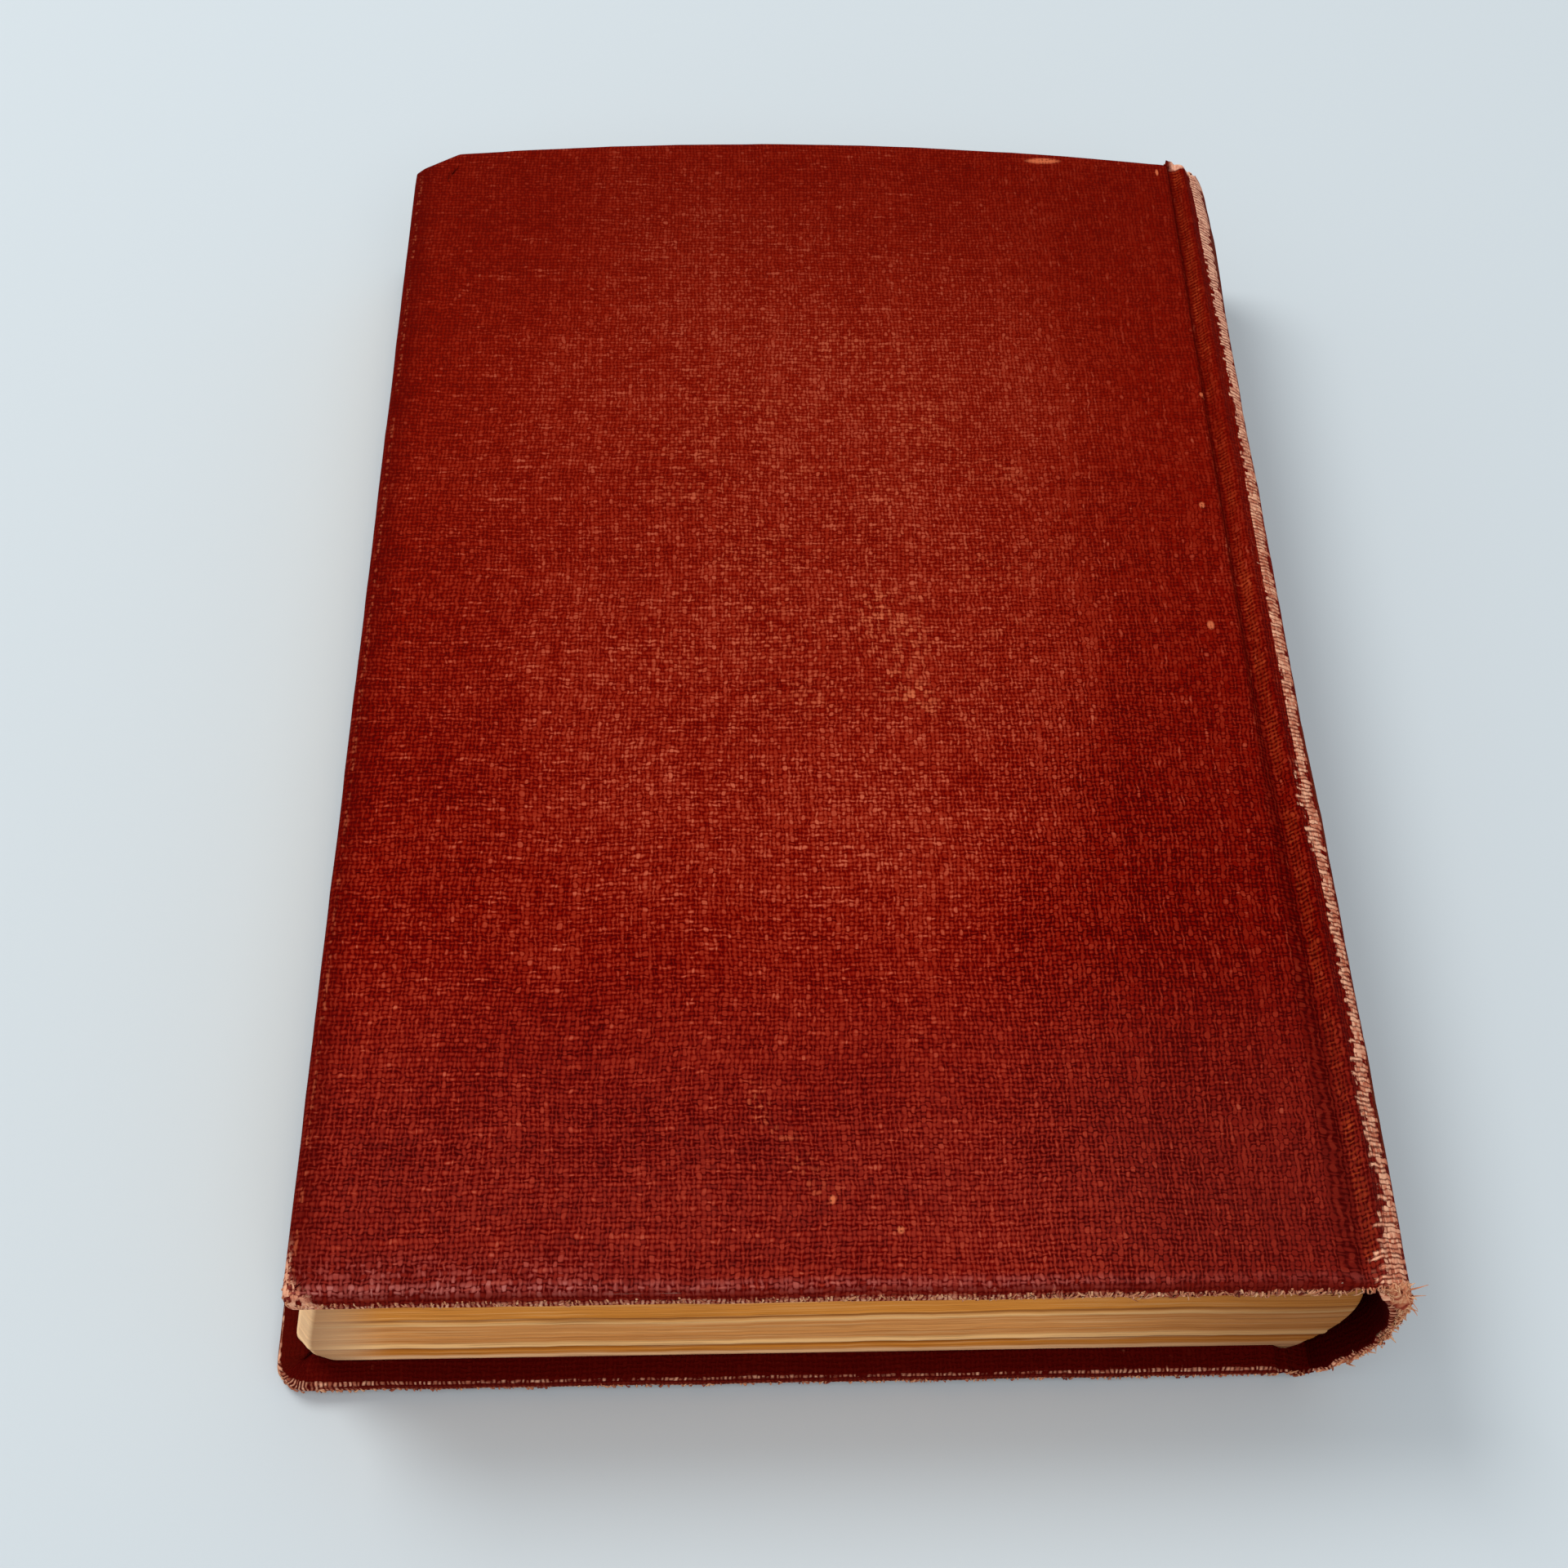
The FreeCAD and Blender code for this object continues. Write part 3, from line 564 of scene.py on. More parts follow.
def make_cover_cloth(shape, material):
    """Cloth over one cover: a grid over the flat and the joint, and rings that fold it round three edges.
    Each ring is the outline moved in and down by a row of the fold; under the pasted endpaper the rings
    sink away."""
    # Rows of the grid: distances from the fore-edge and from the tail, finer near corners and joint.
    ends = np.array([0, 0.25, 0.5, 0.8, 1.1, 1.5, 2.0, 2.6, 3.3, 4.2, 5.4, 7.0, 9.0, 11.5])
    us = np.concatenate([INNER + ends, np.arange(19.0, shape.board - 5.0, 2.6),
                         np.arange(shape.board - 4.0, shape.far, 0.22), [shape.far]])
    vs = np.concatenate([INNER + ends, np.arange(19.0, shape.height - 18.5, 2.4),
                         (shape.height - INNER - ends)[::-1]])
    columns = len(vs)
    u_grid, v_grid = np.meshgrid(us, vs, indexing="ij")
    rise = (shape.head(us) - shape.height)[:, None]
    v_grid = v_grid + rise * smooth(v_grid, shape.height * 0.35, shape.height - INNER)
    inner = shape.surface(u_grid, v_grid)
    numbers = np.arange(u_grid.size).reshape(u_grid.shape)
    rim = np.concatenate([numbers[::-1, 0], numbers[0, 1:-1], numbers[:, -1]])
    rim_path = np.stack([u_grid.ravel()[rim], v_grid.ravel()[rim]], -1)

    rim_length = spaced(rim_path)
    outer_at = np.interp(rim_length, rim_length[[0, len(us) - 1, len(us) + columns - 2, -1]], shape.marks)
    # Along the tail and the head each station keeps its own distance from the fore-edge.
    tail_u, head_u = rim_path[:len(us), 0], rim_path[-len(us):, 0]
    tail_at, head_at = outer_at[:len(us)], outer_at[-len(us):]
    tail_at += smooth(tail_u, INNER + 3.0, INNER + 12.0) * (shape.far - tail_u - tail_at)
    own_at = np.interp(head_u, shape.path[shape.head_start:, 0], shape.length[shape.head_start:])
    head_at += smooth(head_u, INNER + 8.0, INNER + 20.0) * (own_at - head_at)
    edge, _, outward = shape.trace(np.maximum.accumulate(outer_at), 0.15)
    # By the joint the cloth is turned in square to the edge, whatever the edge's own slope.
    square = smooth(edge[:, 0], shape.board - 8.0, shape.board - 2.0)[:, None]
    outward = unit(outward * (1 - square) + square * np.sign(outward[:, 1:]) * (0.0, 1.0))

    depth = shape.depth(edge[:, 0])
    bowed = np.clip(2.5 * (edge[:, 1] - shape.height), 0.0, 4.3)
    sink = 0.36 * smooth(edge[:, 0], shape.board - 1.0, shape.board - 3.0)
    fold_length = spaced(FOLD * (1.0, COVER))
    beyond = fold_length - fold_length[len(EASE)] - FOLD[len(EASE), 0]
    # Each vertex as a row: place, place on the flat sheet, share of the fold's depth, and wear.
    vertices = [np.column_stack([inner.reshape(-1, 3), u_grid.ravel(), v_grid.ravel(),
                                 np.zeros((u_grid.size, 2))])]
    for ring, (inset, share) in enumerate(FOLD):
        place = edge - outward * inset
        if inset > 0:
            place[:, 0] = np.maximum(place[:, 0], inset - 0.1)
            place[:, 1] = np.clip(place[:, 1], inset - 0.1, shape.head(place[:, 0]) - inset + 0.1)
        if ring < len(EASE):
            place = rim_path * (1 - EASE[ring]) + place * EASE[ring]
        layer = shape.surface(place[:, 0], place[:, 1])
        layer[:, 2] += shape.down * (depth * share - sink * smooth(inset - bowed, 4.7, 5.3))
        sheet = edge + outward * beyond[ring] if ring >= len(EASE) else place
        vertices.append(np.column_stack([layer, sheet, np.full(len(rim), share),
                                         shape.worn(share, edge[:, 0], edge[:, 1])]))
    rings = u_grid.size + np.arange(len(FOLD) * len(rim)).reshape(len(FOLD), len(rim))
    table = np.concatenate([rim[None, :], rings])
    quads = np.stack([table[1:, :-1], table[1:, 1:], table[:-1, 1:], table[:-1, :-1]], -1).reshape(-1, 4)
    faces = np.concatenate([grid_faces(len(us), columns), quads])
    data = np.concatenate(vertices)
    points, uv, share, fold = data[:, :3], data[:, 3:5], data[:, 5], data[:, 6]
    # The strip of bare thread belongs to the back; the front cover is far from it.
    band = wear_band(points[:, 0] - BACK_LOW[0], points[:, 1] - TAIL) if shape.back else 0 * fold + 9.0
    piece = make_piece(f"{shape.name}_cover_book_cloth", points, faces, material,
                       {"fold": fold, "inside": shape.hidden(share), "band": band}, uv=uv, flip=shape.back)
    thicken(piece)
    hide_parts(f"{shape.name}_cover_cloth")
    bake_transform(piece)
    return piece


def make_spine_cloth(material):
    """Spine cloth from seam to seam. Its rows run from the turned-in tail, round the tail's fold, up the
    outer face and round the head's fold to the turned-in head."""
    ss = np.concatenate([np.arange(SEAM_BACK, SEAM_FRONT, 0.45), [SEAM_FRONT]])
    fold = np.array([(TURN_IN, 1.0), (9.0, 1.0), (4.0, 1.0), (2.2, 1.0), (1.3, 0.97), (0.75, 0.9),
                     (0.3, 0.78), (0.06, 0.62), (0.0, 0.45), (0.1, 0.24), (0.36, 0.09), (0.8, 0.015),
                     (1.4, 0.0)])
    body_v = np.concatenate([np.arange(2.0, 12.0, 0.8), np.arange(12.0, SPINE_HEIGHT - 12.0, 2.2),
                             np.arange(SPINE_HEIGHT - 12.0, SPINE_HEIGHT - 1.9, 0.8)])
    head_fold = fold[::-1] * (-1.0, 1.0) + (SPINE_HEIGHT, 0.0)
    rows = np.concatenate([fold, np.column_stack([body_v, 0 * body_v]), head_fold])
    travel = spaced(rows * (1.0, TURNED_DEPTH))
    unfolded = travel - travel[len(fold) - 1] + fold[-1, 0]
    s_grid, v_grid = np.meshgrid(ss, rows[:, 0], indexing="ij")
    inward = np.broadcast_to(rows[:, 1], s_grid.shape)
    from_ridge = smooth(np.minimum(s_grid - SEAM_BACK, SEAM_FRONT - s_grid), 0.0, 2.0)
    point, _ = case_point(s_grid, v_grid, inward)
    point[..., 1] += 0.35 * from_ridge * wobble(s_grid, 31, longest=7.0) * np.exp(-np.abs(v_grid) / 1.5)
    point[..., 1] += (cap_level(s_grid) - SPINE_HEIGHT) * np.exp(-np.abs(SPINE_HEIGHT - v_grid) / 3.0)
    uv = np.stack([s_grid, np.broadcast_to(unfolded, s_grid.shape)], -1)
    from_end = np.minimum(v_grid, SPINE_HEIGHT - v_grid)
    lip = smooth(from_end, 2.4, 0.7) * smooth(inward, 0.8, 0.6)
    # The turned-in rows get inside 2, which the finish paints darkest as painted shade in the hollow.
    piece = make_piece("spine_book_cloth", point.reshape(-1, 3), grid_faces(len(ss), len(rows)), material,
                       {"fold": lip.ravel(), "inside": 2.0 * smooth(inward, 0.55, 0.8).ravel(),
                        "band": wear_band(s_grid, v_grid).ravel()},
                       body="leaves_and_spine", uv=uv.reshape(-1, 2), flip=True)
    thicken(piece)
    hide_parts("spine_cloth")
    return piece


# Leaves

LEAF_LOW, LEAF_HIGH = 2.82, 22.36
LEAN = 4.05
FORE_HOLLOW = 0.9
BACK_X, BACK_Z, BACK_R = 44.45, 14.79, 16.05
# Each shoulder: the face it stands on, its tip's height, and where it starts.
SHOULDERS = ((LEAF_HIGH, 23.56, 56.233), (LEAF_LOW, 1.62, 52.183))
# The leaves' tone is counted by height, as a share of this one.
TONE_HEIGHT = 25.0
# Height, tone of relief and width of the lines that the gatherings draw on the cut edges.
GATHERINGS = [(3.3, 0.10, 0.35), (4.2, -0.06, 0.15), (5.45, -0.28, 0.16), (6.3, 0.14, 0.28),
              (7.4, -0.05, 0.12), (8.7, 0.07, 0.18), (9.9, -0.07, 0.12), (11.2, -0.05, 0.1),
              (12.2, 0.10, 0.2), (13.2, -0.26, 0.16), (14.6, 0.05, 0.3), (16.0, -0.12, 0.12),
              (17.3, 0.08, 0.2), (18.9, -0.15, 0.14), (20.4, 0.06, 0.25), (21.5, -0.1, 0.12)]


def leaf_relief(level):
    """How far each leaf's edge stands out: lines of the gatherings and small steps between leaves."""
    leaves = 140
    steps = np.random.default_rng(7).uniform(-0.055, 0.055, leaves)
    out = np.interp(level, np.linspace(LEAF_LOW - 1, LEAF_HIGH + 1, leaves), steps)
    return out + sum(rise * hump(level, height, width) for height, rise, width in GATHERINGS)


def leaf_plan(fore, back, cut_along, cut_up):
    """One leaf's outline from the worn tail corner along the tail, up the back, along the head and down the
    fore-edge, as points in the row frame with their outward directions."""
    tail, head = LEAVES_LOW[1], LEAVES_HIGH[1]
    worn = rounded_turn([[fore, tail + 9.0], [fore, tail + cut_up], [fore + cut_along, tail],
                         [fore + 9.0, tail]], 0.9)
    corners = [worn, rounded_turn([[back - 3, tail], [back, tail], [back, tail + 3]], 0.4),
               rounded_turn([[back, head - 3], [back, head], [back - 3, head]], 0.4),
               rounded_turn([[fore + 5, head], [fore, head], [fore, head - 5]], 1.0)]
    parts = []
    for corner, after, count in zip(corners, corners[1:] + corners[:1], (60, 45, 50, 75)):
        t = np.linspace(0, 1, count + 2)[1:-1, None]
        parts += [corner, corner[-1] + (after[0] - corner[-1]) * t]
    path = np.concatenate(parts)
    turn = unit(np.roll(path, -1, 0) - np.roll(path, 1, 0))
    return path, np.stack([turn[:, 1], -turn[:, 0]], -1), spaced(worn)[-2]


def make_leaves(material):
    """Leaves as a stack of outlines, one above another; each steps in or out by the relief at its own
    level, and the levels waver slowly along the edges. An inner ring and a flat page close the stack at
    both ends, and a wedge makes each shoulder."""
    levels = np.linspace(LEAF_LOW, LEAF_HIGH, 150)
    share = (levels - LEAF_LOW) / (LEAF_HIGH - LEAF_LOW)
    fore = LEAVES_LOW[0] + LEAN * share
    hollow = FORE_HOLLOW * 4 * share * (1 - share)
    back = BACK_X + np.sqrt(BACK_R ** 2 - (levels - BACK_Z) ** 2)
    # Each vertex as a row: place, tone, place along and up the edge, nearness to the worn arris, and page.
    rows = []
    for level, fore_x, back_x, deep, bump in zip(levels, fore, back, hollow, fade(levels - LEAF_LOW, 1.3)):
        path, outward, arris = leaf_plan(fore_x, back_x, 1.3 + 4.2 * bump, 1.7 + 2.3 * bump)
        from_tail = 1 - fade(path[:, 1] - LEAVES_LOW[1], 14.0)
        path[:, 0] += deep * from_tail * np.clip((fore_x + 12.0 - path[:, 0]) / 12.0, 0, 1)
        run = spaced(path)
        waver = np.sin(np.pi * (level - LEAF_LOW) / (LEAF_HIGH - LEAF_LOW))
        at = level + 0.3 * wobble(run, 41, waves=6, longest=150.0) * waver
        ends = smooth(level, LEAF_LOW, LEAF_LOW + 0.4) * smooth(level, LEAF_HIGH, LEAF_HIGH - 0.4)
        cut = np.where(outward[:, 0] > 0.7, 0.0, 1.0)
        out = (leaf_relief(at) + 0.05 * wobble(run, 43, longest=18.0)) * ends * cut - 0.03
        flat = np.full(len(path), level)
        rows.append(np.column_stack([path + outward * out[:, None], flat, at / TONE_HEIGHT, run, flat,
                                     hump(run, arris, 0.4), 0 * flat]))
        if level in (LEAF_LOW, LEAF_HIGH):
            page = rows[-1].copy()
            page[:, :2] -= outward * 0.5
            page[:, -1] = 1.0
            rows.insert(0 if level == LEAF_LOW else len(rows), page)
    faces = tube_faces(len(rows), len(rows[0]))
    vertices = np.concatenate(rows)

    for edge_z, tip_z, in_x in SHOULDERS:
        start_z = edge_z + (-0.15 if tip_z > edge_z else 0.15)
        arc_z = np.linspace(start_z, tip_z, 6)
        arc_x = BACK_X + np.sqrt(BACK_R ** 2 - (arc_z - BACK_Z) ** 2) - 0.03
        section_x, section_z = np.append(in_x - 0.2, arc_x), np.append(start_z, arc_z)
        ys = np.linspace(LEAVES_LOW[1] + 0.04, LEAVES_HIGH[1] - 0.04, 40)
        y, x = [part.ravel() for part in np.meshgrid(ys, section_x, indexing="ij")]
        z = np.tile(section_z, len(ys))
        wedge = tube_faces(len(ys), len(section_x), len(vertices))
        faces += wedge if tip_z < edge_z else [face[::-1] for face in wedge]
        vertices = np.concatenate([vertices, np.column_stack([x, y, z, z / TONE_HEIGHT, y, z, 0 * z, 0 * z])])
    piece = make_piece("leaf_block", vertices[:, :3], faces, material,
                       {"level": vertices[:, 3], "arris": vertices[:, 6], "page": vertices[:, 7]},
                       body="leaves_and_spine", uv=vertices[:, 4:6])
    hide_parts("text_block")
    return piece


# Frayed threads

def make_threads(name, material, roots, aims, curls, lengths, tones, radii, body=None):
    """Loose threads. Each runs from its root by aim * t + curl * t squared, times its length, with t from 0
    to 1, as a three-sided tube that tapers to a point."""
    steps = np.linspace(0, 1, 6)
    t = steps[None, :, None]
    line = roots[:, None] + lengths[:, None, None] * (aims[:, None] * t + curls[:, None] * t ** 2)
    way = unit(aims[:, None] + 2 * curls[:, None] * t)
    side = unit(np.cross(way, (0.31, 0.52, 0.79)))
    other = np.cross(way, side)
    taper = (1 - 0.75 * steps ** 2)[None, :, None, None] * radii[:, None, None, None]
    angles = np.radians([0, 120, 240])[None, None, :, None]
    ring = (side[:, :, None] * np.cos(angles) + other[:, :, None] * np.sin(angles)) * taper
    points = (line[:, :, None] + ring).reshape(-1, 3)
    number = len(steps) * 3
    faces = [face for thread in range(len(roots)) for face in tube_faces(len(steps), 3, thread * number)]
    return make_piece(name, points, faces, material, {"tone": np.repeat(tones, number)}, body)


def edge_loops(shape, material, seed, reach, amount):
    """Rubbed threads along a cover's tail edge, and a little up its fore-edge. Each leaves the worn arris,
    arches away from the edge and comes back to it; amount gives their share at a length along the
    outline."""
    rng = np.random.default_rng(seed)
    corner = shape.marks[1]
    at = np.arange(0.3, corner + reach, WARP_PITCH * 0.5)
    at = at + rng.normal(0, 0.14, len(at))
    at = at[rng.uniform(0, 1, len(at)) < amount(at, corner)]
    count = len(at)
    place, way, out = shape.trace(at, 0.2)
    side = np.column_stack([way, np.zeros(count)])
    outward = np.column_stack([out, np.zeros(count)])
    root = shape.surface(place[:, 0], place[:, 1])
    share = rng.uniform(0.3, 0.62, count) if shape.back else rng.uniform(0.12, 0.3, count)
    root[:, 2] += shape.down * shape.depth(place[:, 0]) * share
    root -= outward * 0.04
    upright = np.array([0.0, 0.0, shape.down])
    arch = rng.uniform(0.45, 0.85, count)[:, None] * (1.0 if shape.back else 0.6)
    aims = outward * arch + upright * rng.uniform(0.3, 0.6, count)[:, None]
    aims += side * rng.normal(0, 0.3, (count, 1))
    curls = -outward * arch * 0.95 + upright * rng.uniform(0.1, 0.45, count)[:, None]
    curls += side * rng.normal(0, 0.3, (count, 1))
    lengths = rng.uniform(0.7, 1.25, count) * (1.0 + 0.7 * smooth(place[:, 0], 60.0, 112.0) * shape.back)
    tones = np.clip(rng.normal(0.6, 0.2, count), 0, 1)
    radii = rng.uniform(0.1, 0.19, count)
    piece = make_threads(f"{shape.name}_tail_threads", material, root, aims, curls, lengths, tones, radii)
    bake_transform(piece)
    return piece


# Where below the back joint the spine's frayed tail is thickest, as a section length.
FRAY_MIDDLE = SEAM_BACK + 2.6


def make_fray(material):
    """Matted thread along the spine's tail rim: a tube carried round the rim from the back joint to the
    front ridge. Its radius swells below the upper ridge and waves along and round it."""
    s = np.linspace(SEAM_BACK - 0.6, SEAM_FRONT - 0.5, 230)
    turn = np.radians(np.arange(0, 360, 24))
    rim, outward = case_point(s, np.zeros(len(s)))
    swell = hump(s, FRAY_MIDDLE, 3.0)
    radius = 0.27 + 0.75 * swell
    centre = rim - outward * ((0.75 + 0.45 * swell) * radius)[:, None]
    centre[:, 1] += 0.15 + 0.1 * radius
    ring, line = np.meshgrid(turn, s)
    lumps = 1 + 0.34 * wobble(line + 1.6 * np.sin(ring), 71, longest=5.6)
    lumps += 0.24 * wobble(1.3 * line - 1.2 * np.cos(ring), 73, longest=1.9)
    size = radius[:, None] * np.clip(lumps, 0.35, 1.8)
    points = centre[:, None] + outward[:, None] * (np.cos(ring) * size)[..., None]
    points[..., 1] += np.sin(ring) * size
    points[..., 2] = np.maximum(points[..., 2], 0.06)
    tone = 0.58 + 0.42 * wobble(line * 2.2 + 2.0 * np.sin(ring), 79, longest=3.0)
    return make_piece("spine_tail_fray", points.reshape(-1, 3), tube_faces(len(s), len(turn)), material,
                      {"tone": np.clip(tone, 0, 1).ravel()}, "leaves_and_spine")


def spine_end_threads(material):
    """Curled threads of the spine's burst tail end, thickest and longest below the upper ridge, and a few
    long strays that stick out of it. None reaches above the cover or under the floor."""
    rng = np.random.default_rng(51)
    count, strays = 520, 9
    s = np.concatenate([SEAM_BACK - 0.4 + rng.beta(1.0, 1.9, count - strays) * (SEAM_FRONT - SEAM_BACK - 0.6),
                        SEAM_BACK + rng.uniform(1.5, 6.5, strays)])
    stray = np.arange(count) >= count - strays
    point, outward = case_point(s, rng.uniform(0.0, 0.5, count))
    swell = hump(s, FRAY_MIDDLE, 3.2)
    point = point + outward * (rng.uniform(-0.9, 0.1, count) * (1 + 1.2 * swell) - 0.3 * swell)[:, None]
    point[:, 1] += rng.uniform(-0.5, 0.6, count)
    aims = outward * rng.uniform(0.0, 0.7, count)[:, None] + rng.normal(0, 0.45, (count, 3))
    aims[:, 1] -= rng.uniform(0.0, 0.6, count)
    curls = -0.9 * aims + rng.normal(0, 0.6, (count, 3))
    backward = np.clip(np.sum((aims + 0.5 * curls) * outward, -1), None, 0.0)
    aims = aims - outward * backward[:, None] * 1.6
    aims[stray] = outward[stray] * 0.9 + rng.normal(0, 0.3, (strays, 3))
    curls[stray] = rng.normal(0, 0.3, (strays, 3))
    long, short = rng.uniform(1.3, 2.4, count), rng.uniform(0.6, 1.3, count)
    lengths = np.where(stray, long, short * (0.6 + 0.75 * swell))
    tones = np.clip(rng.normal(0.72, 0.2, count), 0, 1)
    radii = np.where(stray, 0.1, rng.uniform(0.09, 0.19, count))
    for room, up in ((THICK + 0.3 - point[:, 2], 1.0), (point[:, 2] - 0.25, -1.0)):
        reach = np.maximum(up * aims[:, 2], 0) + np.maximum(up * (aims[:, 2] + curls[:, 2]), 0)
        lengths = np.minimum(lengths, np.clip(room, 0.05, None) / np.maximum(reach, 0.05))
    return make_threads("spine_tail_threads", material, point, aims, curls, lengths, tones, radii,
                        "leaves_and_spine")


# Finishes

# The groove's middle, and where the weft starts to slant and for how far, along the section in metres.
GROOVE = 117.45 * MM
SLANT_FROM = 119.5 * MM
SLANT_REACH = 6.0 * MM
# Rubbed places on the upper cover: middle, reach along and up, and strength.
RUBBED = [(0.003, 0.015, 0.038, 0.05, 0.14), (0.0105, 0.001, 0.009, 0.01, 0.26),
          (0.013, -0.012, 0.006, 0.006, 0.36)]
# Scuffs and pale spots on the upper cover: middle, and reach along and up.
SCUFFS = [(0.0071, -0.08985, 0.0005, 0.0006), (-0.0004, -0.08605, 0.0004, 0.0007),
          (0.0559, 0.0421, 0.0005, 0.0006), (0.0534, 0.0203, 0.0005, 0.0007),
          (0.0521, -0.0016, 0.0006, 0.0009), (0.0365, 0.0935, 0.0032, 0.0008),
          (0.0543, 0.0912, 0.0003, 0.0009)]
# A long scratch on the upper cover: its middle, and the way along it.
SCRATCH_X, SCRATCH_Y, SCRATCH_COS, SCRATCH_SIN = -0.00507, -0.07925, 0.53, 0.848


def book_cloth():
    """Coarse plain weave, dyed red. A cell of the weave shows its warp or its weft thread, arched across
    and along; threads differ in width and tone, some runs stand out as lines, and rubbed places are paler.
    Layers of colour go over the red one after another, and bare thread over them all."""
    f = Finish("red_book_cloth", 0.9, 0.02)
    sheet = f.unrolled()
    u, v, _ = f.split(sheet)
    place = f.place()
    x, y, z = f.split(place)
    top = z.step(0.012, 0.02)
    patch = f.noise(place, 85.0, 2.0, 0.6)
    dirt = f.noise(place, 30.0, 3.0, 0.6)
    fluff = f.noise(place, 1300.0, 2.0, 0.7)
    loose = fluff - 0.5

    # The weave: a and b count the warp and weft threads.
    turned = f.join(v, u)
    slant = (u.at_least(SLANT_FROM) - SLANT_FROM).at_most(SLANT_REACH) * 0.3
    a = u / (WARP_PITCH * MM) + f.plain_noise(sheet, 62.0) * 1.7 + f.plain_noise(sheet, 900.0) * 0.72
    b = (v - slant) / (WEFT_PITCH * MM)
    b = b + f.plain_noise(turned, 55.0) * 1.7 + f.plain_noise(turned, 900.0) * 0.62
    warp = a.floor()
    weft = b.floor()
    chance = f.speckle(warp, weft, 0.5)
    lift = (f.speckle(warp, weft, 9.5) - 0.5) * 1.3
    warp_kind = f.speckle(warp, 3.1)
    weft_kind = f.speckle(5.7, weft)
    across_warp = f.arch(a - warp, warp_kind)
    across_weft = f.arch(b - weft, weft_kind)
    upright = (u + (patch - 0.5) * 0.06).step(0.078, 0.096)
    flat = (patch - 0.5).step(-0.12, 0.12)
    high_warp = across_warp + ((b + warp) * np.pi).sine() * 0.45 + upright * 0.3 + lift - flat * 0.2 + 0.1
    high_weft = across_weft - ((a + weft) * np.pi).sine() * 0.45
    odd = high_weft.over(high_warp)
    high_warp = high_warp - lift * 0.4
    crown = ((high_warp + (high_weft - high_warp) * odd) * (1.02 - odd * 0.11) - 0.225).clamped()
    thread = warp + (weft + 40.5 - warp) * odd
    slub = f.plain_noise(f.join(thread * 7.3, (v + (u - v) * odd) * 420.0), 1.0)
    line = f.plain_noise(f.join((weft + (warp - weft) * upright) * 5.1 + 11.3,
                                (u + (v - u) * upright) * 380.0), 1.0).step(0.6, 0.85)
    line = line * (across_weft + (across_warp - across_weft) * upright)
    middle = f.spot(u, y, 0.056, 0.02, 0.058, 0.1)
    # By the joint towards the tail: painted shade, darker, with stronger crowns.
    right = u.step(0.076, 0.098) * y.step(0.03, -0.06)
    # Paler crowns and darker gaps between threads: partly rubbed thread tops, partly painted highlight and
    # painted shade of the weave's relief.
    level = crown * (right * 0.36 + 0.52) + slub * 0.28 + line * 0.2 + chance * 0.22 + (dirt - 0.5) * 0.32
    level = level + middle * 0.19 - right * 0.42 - 0.175
    red = f.ramp(level, [(0.0, 66, 0, 0), (0.25, 95, 1, 0), (0.48, 121, 10, 0), (0.75, 151, 41, 22),
                         (1.0, 192, 90, 64)])

    # Painted shade in joint, head and fore-edge; painted highlight in bars on the ridge; the faded tail.
    shade = u.step(0.076, 0.112) * (0.1 + y.step(0.02, -0.07) * 0.14)
    shade = shade + (u + dirt * 0.002).step(0.0055, 0.0015) * 0.5 + y.step(0.05, 0.085) * 0.16
    # Painted shade in the groove.
    groove = u.step(GROOVE - 0.0026, GROOVE - 0.0004) * u.step(GROOVE + 0.0009, GROOVE)
    # Painted highlight on the ridge's thread crowns, in bars.
    ridge = (u + (weft_kind - 0.5) * 0.0006).step(GROOVE + 0.0025, GROOVE + 0.0018)
    ridge = ridge * u.step(GROOVE + 0.0003, GROOVE + 0.0009)
    ridge = ridge * (across_weft * 1.5 - 0.5).clamped() * (weft_kind * 0.5 + slub)
    ridge = ridge * (patch - 0.36).step(0.0, 0.3) * (chance * 0.6 + 0.35)
    faded = v.step(0.0022, 0.001) * (u.step(0.1, 0.08) * 0.4 + 0.15)
    faded = faded + v.step(0.0065, 0.001) * u.step(0.05, 0.012) * (slub * 1.6 - 0.45).clamped()
    faded = faded * v.step(-0.0002, 0.0004) * (crown * chance * (patch + 0.6)) * top

    # Rubbed speckles on the upper cover, a long scratch, scuffs, and a dotted line by the fore-edge.
    rubbed = sum((f.spot(x, y, *oval) * strength for *oval, strength in RUBBED), 0.0)
    rubbed = rubbed * (patch - 0.4).step(0.0, 0.3) * (chance * 0.7 + slub - 0.75).step(0.0, 0.4) * crown * 1.6
    run = (x - SCRATCH_X) * SCRATCH_COS - (y - SCRATCH_Y) * SCRATCH_SIN
    off = (x - SCRATCH_X) * SCRATCH_SIN + (y - SCRATCH_Y) * SCRATCH_COS + (slub - 0.5) * 0.0006
    scratch = abs(off).step(0.0021, 0.0004) * abs(run).step(0.0105, 0.008)
    scratch = scratch * (line * 0.5 + chance.step(0.7, 0.95) * 0.6) * crown
    scuffs = sum((f.spot(x, y, *oval) for oval in SCUFFS), 0.0) * (slub + crown - 0.45).step(0.0, 0.5)
    dots = (u + (slub - 0.5) * 0.0003).step(0.0007, 0.0009) * u.step(0.0013, 0.0011) * chance.step(0.45, 0.7)
    pale = ((rubbed + scratch * 0.5 + scuffs * 0.85) * top + dots * crown * 0.3).clamped()
